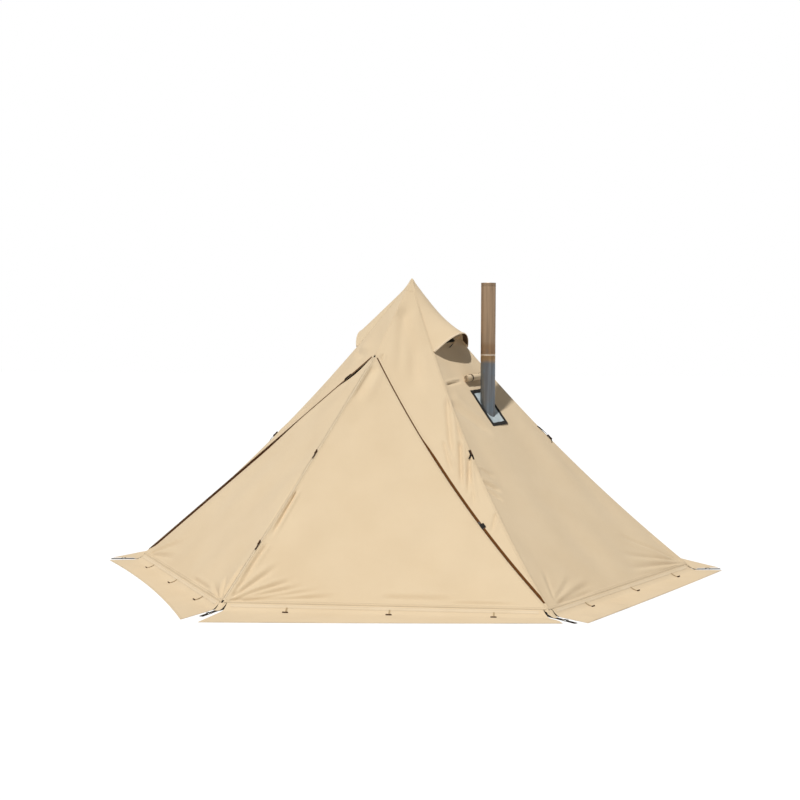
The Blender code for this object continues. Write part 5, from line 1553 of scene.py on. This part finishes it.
def dress_patch():
    lift = CANVAS / 2 + LAY_GAP + JACK_THICKNESS / 2
    axis = chimney_axis()
    ring = []
    for step in range(JACK_HOLE_SIDES):
        rim = axis + heading(360 * step / JACK_HOLE_SIDES) * (CHIMNEY_RADIUS + JACK_HOLE_GAP)
        ring.append(RIGHT_WALL.under(rim[0], rim[1], lift))
    tailored("jack_patch_cloth", RIGHT_WALL, jack_rectangle(RIGHT_WALL, JACK_LAP), "tent", ["jack_patch"],
             "heatproof", "heatproof", holes=[np.array(ring)], cell=PATCH_CELL, lift=lift,
             thickness=JACK_THICKNESS)


def dress_border():
    """Black binding sewn round the chimney hole, a strip for each side."""
    lift = CANVAS / 2 + LAY_GAP + JACK_THICKNESS * 1.5 + SEAM_GAP
    outer = jack_rectangle(RIGHT_WALL, 0)
    dice = np.random.default_rng(51)
    for i in range(4):
        start, stop = outer[i], outer[(i + 1) % 4]
        reach = float(np.linalg.norm(stop - start))
        along = (stop - start) / reach
        inward = np.array((-along[1], along[0]))
        wave = dice.uniform(0, 6.28, 3)

        def shape(spots):
            run = spots[:, 1] * reach
            rough = BINDING_ROUGHNESS * (np.sin(run * 90 + wave[0]) + np.sin(run * 210 + wave[1]) * 0.5)
            across = spots[:, 0] * (BINDING_WIDTH + rough) + (1 - spots[:, 0]) * rough * 0.8
            flat = start + along * run[:, None] + inward * across[:, None]
            puff = BINDING_PUFF * np.sin(math.pi * spots[:, 0])
            return RIGHT_WALL.place(flat, lift + puff + (BINDING_CROSSING if i % 2 else 0.0))

        steps = (6, int(reach / BINDING_CELL))
        mapped(f"jack_border_{i}", steps, shape, "black_fabric", "tent", "black_fabric",
               ["jack_border"] if i == 0 else (), JACK_THICKNESS, (BINDING_WIDTH, reach))


def dress_roll():
    """The flap that covers the hole, rolled up above it: a spiral of canvas with two ties round it."""
    height = JACK_SHARE * RIGHT_WALL.height + JACK_LENGTH / 2 + ROLL_RISE
    ends = [Vector(RIGHT_WALL.place(np.array((ROLL_SIDE + side * ROLL_LENGTH / 2, height)),
                                    CANVAS / 2 + LAY_GAP + ROLL_RADIUS)[0]) for side in (-1, 1)]
    axis = (ends[1] - ends[0]).normalized()
    out = Vector(RIGHT_WALL.normals(np.array(((ROLL_SIDE, height),)))[0])
    out = (out - axis * out.dot(axis)).normalized()
    up = out.cross(axis)

    def shape(spots):
        places = []
        for turn_share, along in spots:
            angle = turn_share * ROLL_TURNS * 2 * math.pi
            radius = ROLL_CORE + (ROLL_RADIUS - CANVAS / 2 - ROLL_CORE) * turn_share
            slack = 1 + ROLL_SLACK * math.sin(angle * 2 + along * 5) * turn_share
            slump = 1 - ROLL_SLUMP * math.cos(2 * math.pi * along)
            reach = along + ROLL_UNEVEN * math.sin(angle * 0.9) * (1 if along > 0.5 else -1) * turn_share
            place = ends[0].lerp(ends[1], reach)
            side = up * math.cos(angle) + out * math.sin(angle) * slump
            places.append(place + side * radius * slack * (0.95 + 0.05 * slump))
        return places

    length = 2 * math.pi * ROLL_TURNS * ROLL_RADIUS * ROLL_MEAN_SHARE
    roll = mapped("jack_flap_roll_cloth", (180, 40), shape, "canvas", "tent", "canvas", ["jack_flap_roll"],
                  CANVAS, (length, ROLL_LENGTH))
    for i, share in enumerate(ROLL_TIE_SHARES):
        middle = ends[0].lerp(ends[1], share)
        band = oval(ROLL_RADIUS + ROLL_TIE_GAP, ROLL_TIE_HALF_THICKNESS, ROLL_TIE_HALF_WIDTH, ROLL_TIE_SIDES)
        tie = turned(band, placed(up, out, axis, middle), RING_STEPS)
        solid(f"jack_roll_tie_{i}", tie, "webbing", "tent", "webbing")


# Peak cap

CAP_CLOTH = 0.0006
CAP_GAP = 0.0002
SEAM_EASE = 0.8
SEAM_EASE_POWER = 4
CAP_DOME = 0.011
CAP_DOME_REACH = 0.03
CAP_TIP = 0.006
CAP_TIP_REACH = 0.009
CAP_START = 0.002
CAP_MERGE = 0.0006
CAP_TOP_EASE = 0.66


def dress_peak():
    """The cap over the panels' tops. It follows each wall a little way out from it."""
    lift = CANVAS / 2 + CAP_GAP + CAP_CLOTH / 2
    sides = []
    for wall, (_, _, middle) in WALLS.items():
        surface = {"front": FRONT_UPPER, "left": LEFT_UPPER}.get(wall) or whole_wall(wall)
        sides.append((middle, surface, wall == "front", wall == "left"))
    sides.sort(key=lambda side: side[0])
    reach = 1 - DOOR_TOP_SHARE

    def shape(spots):
        places = []
        for down, around in spots:
            step = min(int(around * 6), 5)
            mix = around * 6 - step
            _, surface, door_left, door_right = sides[step]
            far = (1 - CAP_FOOT_SHARE) * max(down, CAP_START)
            left = far * (1 - mix) / (reach if door_left else 1)
            right = far * mix / (reach if door_right else 1)
            hip = 1 + SEAM_EASE * (2 * mix - 1) ** SEAM_EASE_POWER
            place = surface.place(surface.spot(1 - left - right, left, right), lift * hip)[0]
            away = float(np.linalg.norm(place - PEAK))
            dome = CAP_DOME * math.exp(-(away / CAP_DOME_REACH) ** 2)
            dome -= CAP_TIP * math.exp(-(away / CAP_TIP_REACH) ** 2)
            places.append(place + UP * dome)
        return places

    build = grid((0.0, 0.0), (1.0, 1.0), (12, 96))
    spots = flat_spots(build)
    move_all(build, shape(spots))
    for vert, spot in zip(build.verts, spots):
        if spot[0] < 1e-6:
            vert.co = PEAK + UP * (lift / CAP_TOP_EASE + CAP_DOME - CAP_TIP)
    bmesh.ops.remove_doubles(build, verts=build.verts, dist=CAP_MERGE)
    bmesh.ops.recalc_face_normals(build, faces=build.faces)
    cloth = flat_spots(build)
    cap = settle("peak_cap_cloth", build, "canvas", "tent", "canvas", ["peak_cap"],
                 {"cloth": cloth, "seam": cloth + 1.0}, CAP_CLOTH)


# Chimney, pole and stove

NODE_LOOKS = {
    "pole_lower": ("pole", 0),
    "pole_upper": ("pole", 0),
    "pole_foot": ("rubber", 0.002),
    "stove_body": ("stove", 0.0012),
    "stove_door": ("stove", 0.001),
    "stove_air_slide": ("steel", 0.0004),
    "stove_latch": ("steel", 0.0008),
    "stove_legs_front": ("steel", 0),
    "stove_legs_rear": ("steel", 0),
    "damper": ("steel", 0.0003),
    "vent_prop_right": ("prop_right", 0.0005),
    "vent_prop_left": ("prop_left", 0.0005),
}
CHIMNEY_WALL = 0.001
CHIMNEY_TOP = 2.045
CHIMNEY_UPPER_JOINT = 1.536
CHIMNEY_LOWER_JOINT = 1.028
CHIMNEY_SPIGOT = 0.05
CHIMNEY_FIT = 0.0004
PIPE_STEPS = 96
BEAD_STEPS = 6
BEAD_RISE = 0.0004
BEAD_WIDTH = 0.008
BEAD_FROM_FOOT = 0.02
BEAD_FROM_TOP = 0.024
LOCK_SEAM_HEADING = 150
LOCK_SEAM_INNER_WIDTH = 0.007
LOCK_SEAM_OUTER_WIDTH = 0.005
LOCK_SEAM_FROM_FOOT = 0.026
LOCK_SEAM_FROM_TOP = 0.032
LOCK_SEAM_RISE = 0.0011
LOCK_SEAM_DEPTH = 0.0004
LOCK_SEAM_BEVEL = 0.0004
STOVE_TOP = 0.52


def dress_pipe(name, low, high, finish):
    """A rolled pipe section: a necked foot, a stiffening bead at either end, a curled top edge and a seam."""
    skin = CHIMNEY_RADIUS
    bore = skin - CHIMNEY_WALL
    neck = bore - CHIMNEY_FIT
    inner = neck - CHIMNEY_WALL
    spigot = low - CHIMNEY_SPIGOT
    top = high - SEAM_GAP
    profile = [(inner, spigot), (neck, spigot), (neck, low), (skin - 0.0004, low)]
    profile += [(skin - 0.0003, low + 0.001), (skin, low + 0.01), (skin, low + 0.013)]
    for middle in (low + BEAD_FROM_FOOT, top - BEAD_FROM_TOP):
        for step in range(BEAD_STEPS + 1):
            share = step / BEAD_STEPS
            out = skin + BEAD_RISE * math.sin(math.pi * share)
            profile.append((out, middle + BEAD_WIDTH * (share - 0.5)))
        profile.append((skin, middle + 0.006))
    profile += [(skin, top - 0.0026), (skin, top - 0.002), (skin - 0.0002, top), (bore + 0.0001, top)]
    profile += [(bore, top - 0.002), (bore, low + CHIMNEY_WALL), (inner, low + CHIMNEY_WALL)]
    axis = Matrix.Translation(Vector(chimney_axis()))
    solid(f"{name}_pipe", turned(profile, axis, PIPE_STEPS), finish, "tent", "chimney", [name])
    seam = bmesh.new()
    bmesh.ops.create_cube(seam, size=1)
    place = axis @ Matrix.Rotation(math.radians(LOCK_SEAM_HEADING), 4, "Z")
    for vert in seam.verts:
        side = vert.co.y * (LOCK_SEAM_INNER_WIDTH if vert.co.x < 0 else LOCK_SEAM_OUTER_WIDTH)
        height = low + LOCK_SEAM_FROM_FOOT if vert.co.z < 0 else top - LOCK_SEAM_FROM_TOP
        out = LOCK_SEAM_RISE if vert.co.x > 0 else -LOCK_SEAM_DEPTH
        vert.co = place @ Vector((skin + out, side, height))
    bmesh.ops.recalc_face_normals(seam, faces=seam.faces)
    solid(f"{name}_lock_seam", seam, finish, "tent", "chimney", bevel=LOCK_SEAM_BEVEL)


def finish_nodes():
    """Rigid parts keep their own shape and get their finish and eased edges."""
    for name, (finish, bevel) in NODE_LOOKS.items():
        node = bpy.data.objects[name]
        for place in node.material_slots:
            place.material = FINISHES[finish]
        ease(node, bevel, False)


# Stage

CAMERA_PLACE = (0.9464, -9.8878, 1.7243)
CAMERA_RIGHT = (0.99604, 0.08882, 0.00436)
CAMERA_UP = (-0.00912, 0.05324, 0.99854)
CAMERA_BACK = (0.08845, -0.99462, 0.05384)
CAMERA_LENS = 61.45
CAMERA_SHIFT = (-0.0259, 0.0025)
SUN_FROM = (-0.138, -0.345, 0.928)
FLOOR_REACH = 40.0
WHITE = linear("FFFFFF")


def set_stage(sun_strength, sun_angle, sky_strength):
    """A floor and a sky that show as white, a soft sun from the left, and the camera at the photo's angle."""
    floor = grid((-FLOOR_REACH, -FLOOR_REACH), (FLOOR_REACH, FLOOR_REACH), (8, 8))
    mesh = bpy.data.meshes.new("floor")
    floor.to_mesh(mesh)
    floor.free()
    paper, _ = new_material("floor_white_paper")
    mesh.materials.append(shaded(paper, Base_Color=WHITE, Roughness=0.95, Specular_IOR_Level=0.1))
    linked("floor", mesh)
    lamp = bpy.data.lights.new("sun", "SUN")
    lamp.energy = sun_strength
    lamp.angle = math.radians(sun_angle)
    sun = linked("sun", lamp)
    sun.rotation_mode = "QUATERNION"
    sun.rotation_quaternion = Vector(SUN_FROM).to_track_quat("Z", "Y")
    world = bpy.data.worlds.new("sky_white")
    world.use_nodes = True
    add = partial(add_node, world.node_tree)
    seen = [add("LightPath", output=f"Is {kind} Ray") for kind in ("Camera", "Transmission")]
    direct = add("MAXIMUM", *seen)
    level = add("MULTIPLY_ADD", direct, 1.0 - sky_strength, sky_strength)
    fill(world.node_tree.nodes["Background"], {"Color": WHITE, "Strength": level})
    bpy.context.scene.world = world
    lens = bpy.data.cameras.new("camera")
    lens.lens = CAMERA_LENS
    lens.sensor_width = 36.0
    lens.shift_x, lens.shift_y = CAMERA_SHIFT
    lens.clip_end = 200.0
    camera = linked("camera", lens)
    axes = [Vector(axis) for axis in (CAMERA_RIGHT, CAMERA_UP, CAMERA_BACK, CAMERA_PLACE)]
    camera.matrix_world = placed(*axes)
    bpy.context.scene.camera = camera
    bpy.context.scene.view_settings.view_transform = "Standard"


# Add-on

class TentLooks(bpy.types.PropertyGroup):
    wave: bpy.props.FloatProperty(
        name="Slack", description="How deep the slow waves in the wall cloth are", default=0.012, min=0.0,
        max=0.03, subtype="DISTANCE", unit="LENGTH")
    ripple: bpy.props.FloatProperty(
        name="Skirt ripple", description="How high the skirt's lumps rise from the ground", default=0.006,
        min=0.0, max=0.03, subtype="DISTANCE", unit="LENGTH")


class StageLooks(bpy.types.PropertyGroup):
    sun: bpy.props.FloatProperty(name="Sun", description="Strength of the sun lamp", default=3.3, min=0.0)
    spread: bpy.props.FloatProperty(
        name="Sun size", description="Apparent width of the sun in degrees", default=2.0, min=0.0, max=30.0)
    sky: bpy.props.FloatProperty(
        name="Sky", description="Strength of the even light from all round", default=0.1, min=0.0)


class TENT_OT_canopy(bpy.types.Operator):
    """Makes the wall panels above the door and round the tent"""

    bl_idname = "tent.canopy"
    bl_label = "Canopy"

    def execute(self, context):
        dress_canopy(context.scene.tent_looks.wave)
        return {"FINISHED"}


class TENT_OT_door(bpy.types.Operator):
    """Makes the two door leaves, the strip between them and their zips"""

    bl_idname = "tent.door"
    bl_label = "Door and zips"

    def execute(self, context):
        dress_leaves(context.scene.tent_looks.wave)
        dress_leaf_tape()
        dress_hip_tape()
        dress_zip("front", FRONT_UPPER, FRONT_SLIDER_SHARE)
        dress_zip("left", LEFT_UPPER, LEFT_SLIDER_SHARE)
        return {"FINISHED"}


class TENT_OT_skirts(bpy.types.Operator):
    """Makes the sod skirts with their strips, loops and toggle bars"""

    bl_idname = "tent.skirts"
    bl_label = "Skirts"

    def execute(self, context):
        for seed, wall in enumerate(WALLS):
            dress_skirt(wall, 60 + seed, context.scene.tent_looks.ripple)
        return {"FINISHED"}


class TENT_OT_straps(bpy.types.Operator):
    """Makes the corner straps with their rings and the ties on the hips"""

    bl_idname = "tent.straps"
    bl_label = "Straps and ties"

    def execute(self, context):
        for corner in CORNERS:
            dress_corner_strap(corner)
            if corner in TIE_TAILS:
                dress_tie(corner)
        return {"FINISHED"}


class TENT_OT_vents(bpy.types.Operator):
    """Makes the vents' netting and hoods"""

    bl_idname = "tent.vents"
    bl_label = "Vents"

    def execute(self, context):
        dress_vent("right", "right", RIGHT_WALL)
        dress_vent("left", "back_left", BACK_LEFT_WALL)
        return {"FINISHED"}


class TENT_OT_jack(bpy.types.Operator):
    """Makes the heatproof patch, its binding and the rolled flap"""

    bl_idname = "tent.jack"
    bl_label = "Chimney hole"

    def execute(self, context):
        dress_patch()
        dress_border()
        dress_roll()
        return {"FINISHED"}


class TENT_OT_peak(bpy.types.Operator):
    """Makes the cap over the peak"""

    bl_idname = "tent.peak"
    bl_label = "Peak cap"

    def execute(self, context):
        dress_peak()
        return {"FINISHED"}


class TENT_OT_chimney(bpy.types.Operator):
    """Makes the chimney's three pipes"""

    bl_idname = "tent.chimney"
    bl_label = "Chimney"

    def execute(self, context):
        dress_pipe("chimney_lower", STOVE_TOP + SEAM_GAP, CHIMNEY_LOWER_JOINT, "chimney")
        dress_pipe("chimney_middle", CHIMNEY_LOWER_JOINT, CHIMNEY_UPPER_JOINT, "chimney")
        dress_pipe("chimney_upper", CHIMNEY_UPPER_JOINT, CHIMNEY_TOP, "chimney_top")
        return {"FINISHED"}


class TENT_OT_rigid(bpy.types.Operator):
    """Gives the stove, the pole and the props their finishes"""

    bl_idname = "tent.rigid"
    bl_label = "Stove and pole"

    def execute(self, context):
        finish_nodes()
        return {"FINISHED"}


class TENT_OT_stage(bpy.types.Operator):
    """Sets the floor, the light and the camera"""

    bl_idname = "tent.stage"
    bl_label = "Stage"

    def execute(self, context):
        looks = context.scene.stage_looks
        set_stage(looks.sun, looks.spread, looks.sky)
        return {"FINISHED"}


OPERATORS = (TENT_OT_canopy, TENT_OT_door, TENT_OT_skirts, TENT_OT_straps, TENT_OT_vents, TENT_OT_jack,
             TENT_OT_peak, TENT_OT_chimney, TENT_OT_rigid, TENT_OT_stage)


class TENT_PT_panel(bpy.types.Panel):
    """Lists the tent's groups and their settings"""

    bl_label = "Hot tent"
    bl_space_type = "VIEW_3D"
    bl_region_type = "UI"
    bl_category = "Hot tent"

    def draw(self, context):
        for looks in (context.scene.tent_looks, context.scene.stage_looks):
            for key in looks.bl_rna.properties.keys():
                if key not in ("rna_type", "name"):
                    self.layout.prop(looks, key)
        for operator in OPERATORS:
            self.layout.operator(operator.bl_idname)


CLASSES = (TentLooks, StageLooks, *OPERATORS, TENT_PT_panel)


def register():
    for one in CLASSES:
        bpy.utils.register_class(one)
    bpy.types.Scene.tent_looks = bpy.props.PointerProperty(type=TentLooks)
    bpy.types.Scene.stage_looks = bpy.props.PointerProperty(type=StageLooks)


def unregister():
    del bpy.types.Scene.stage_looks
    del bpy.types.Scene.tent_looks
    for one in reversed(CLASSES):
        bpy.utils.unregister_class(one)


def main():
    register()
    make_finishes()
    bpy.ops.tent.canopy()
    bpy.ops.tent.door()
    bpy.ops.tent.skirts()
    bpy.ops.tent.straps()
    bpy.ops.tent.vents()
    bpy.ops.tent.jack()
    bpy.ops.tent.peak()
    bpy.ops.tent.chimney()
    bpy.ops.tent.rigid()
    bpy.ops.tent.stage()


if __name__ == "__main__":
    main()
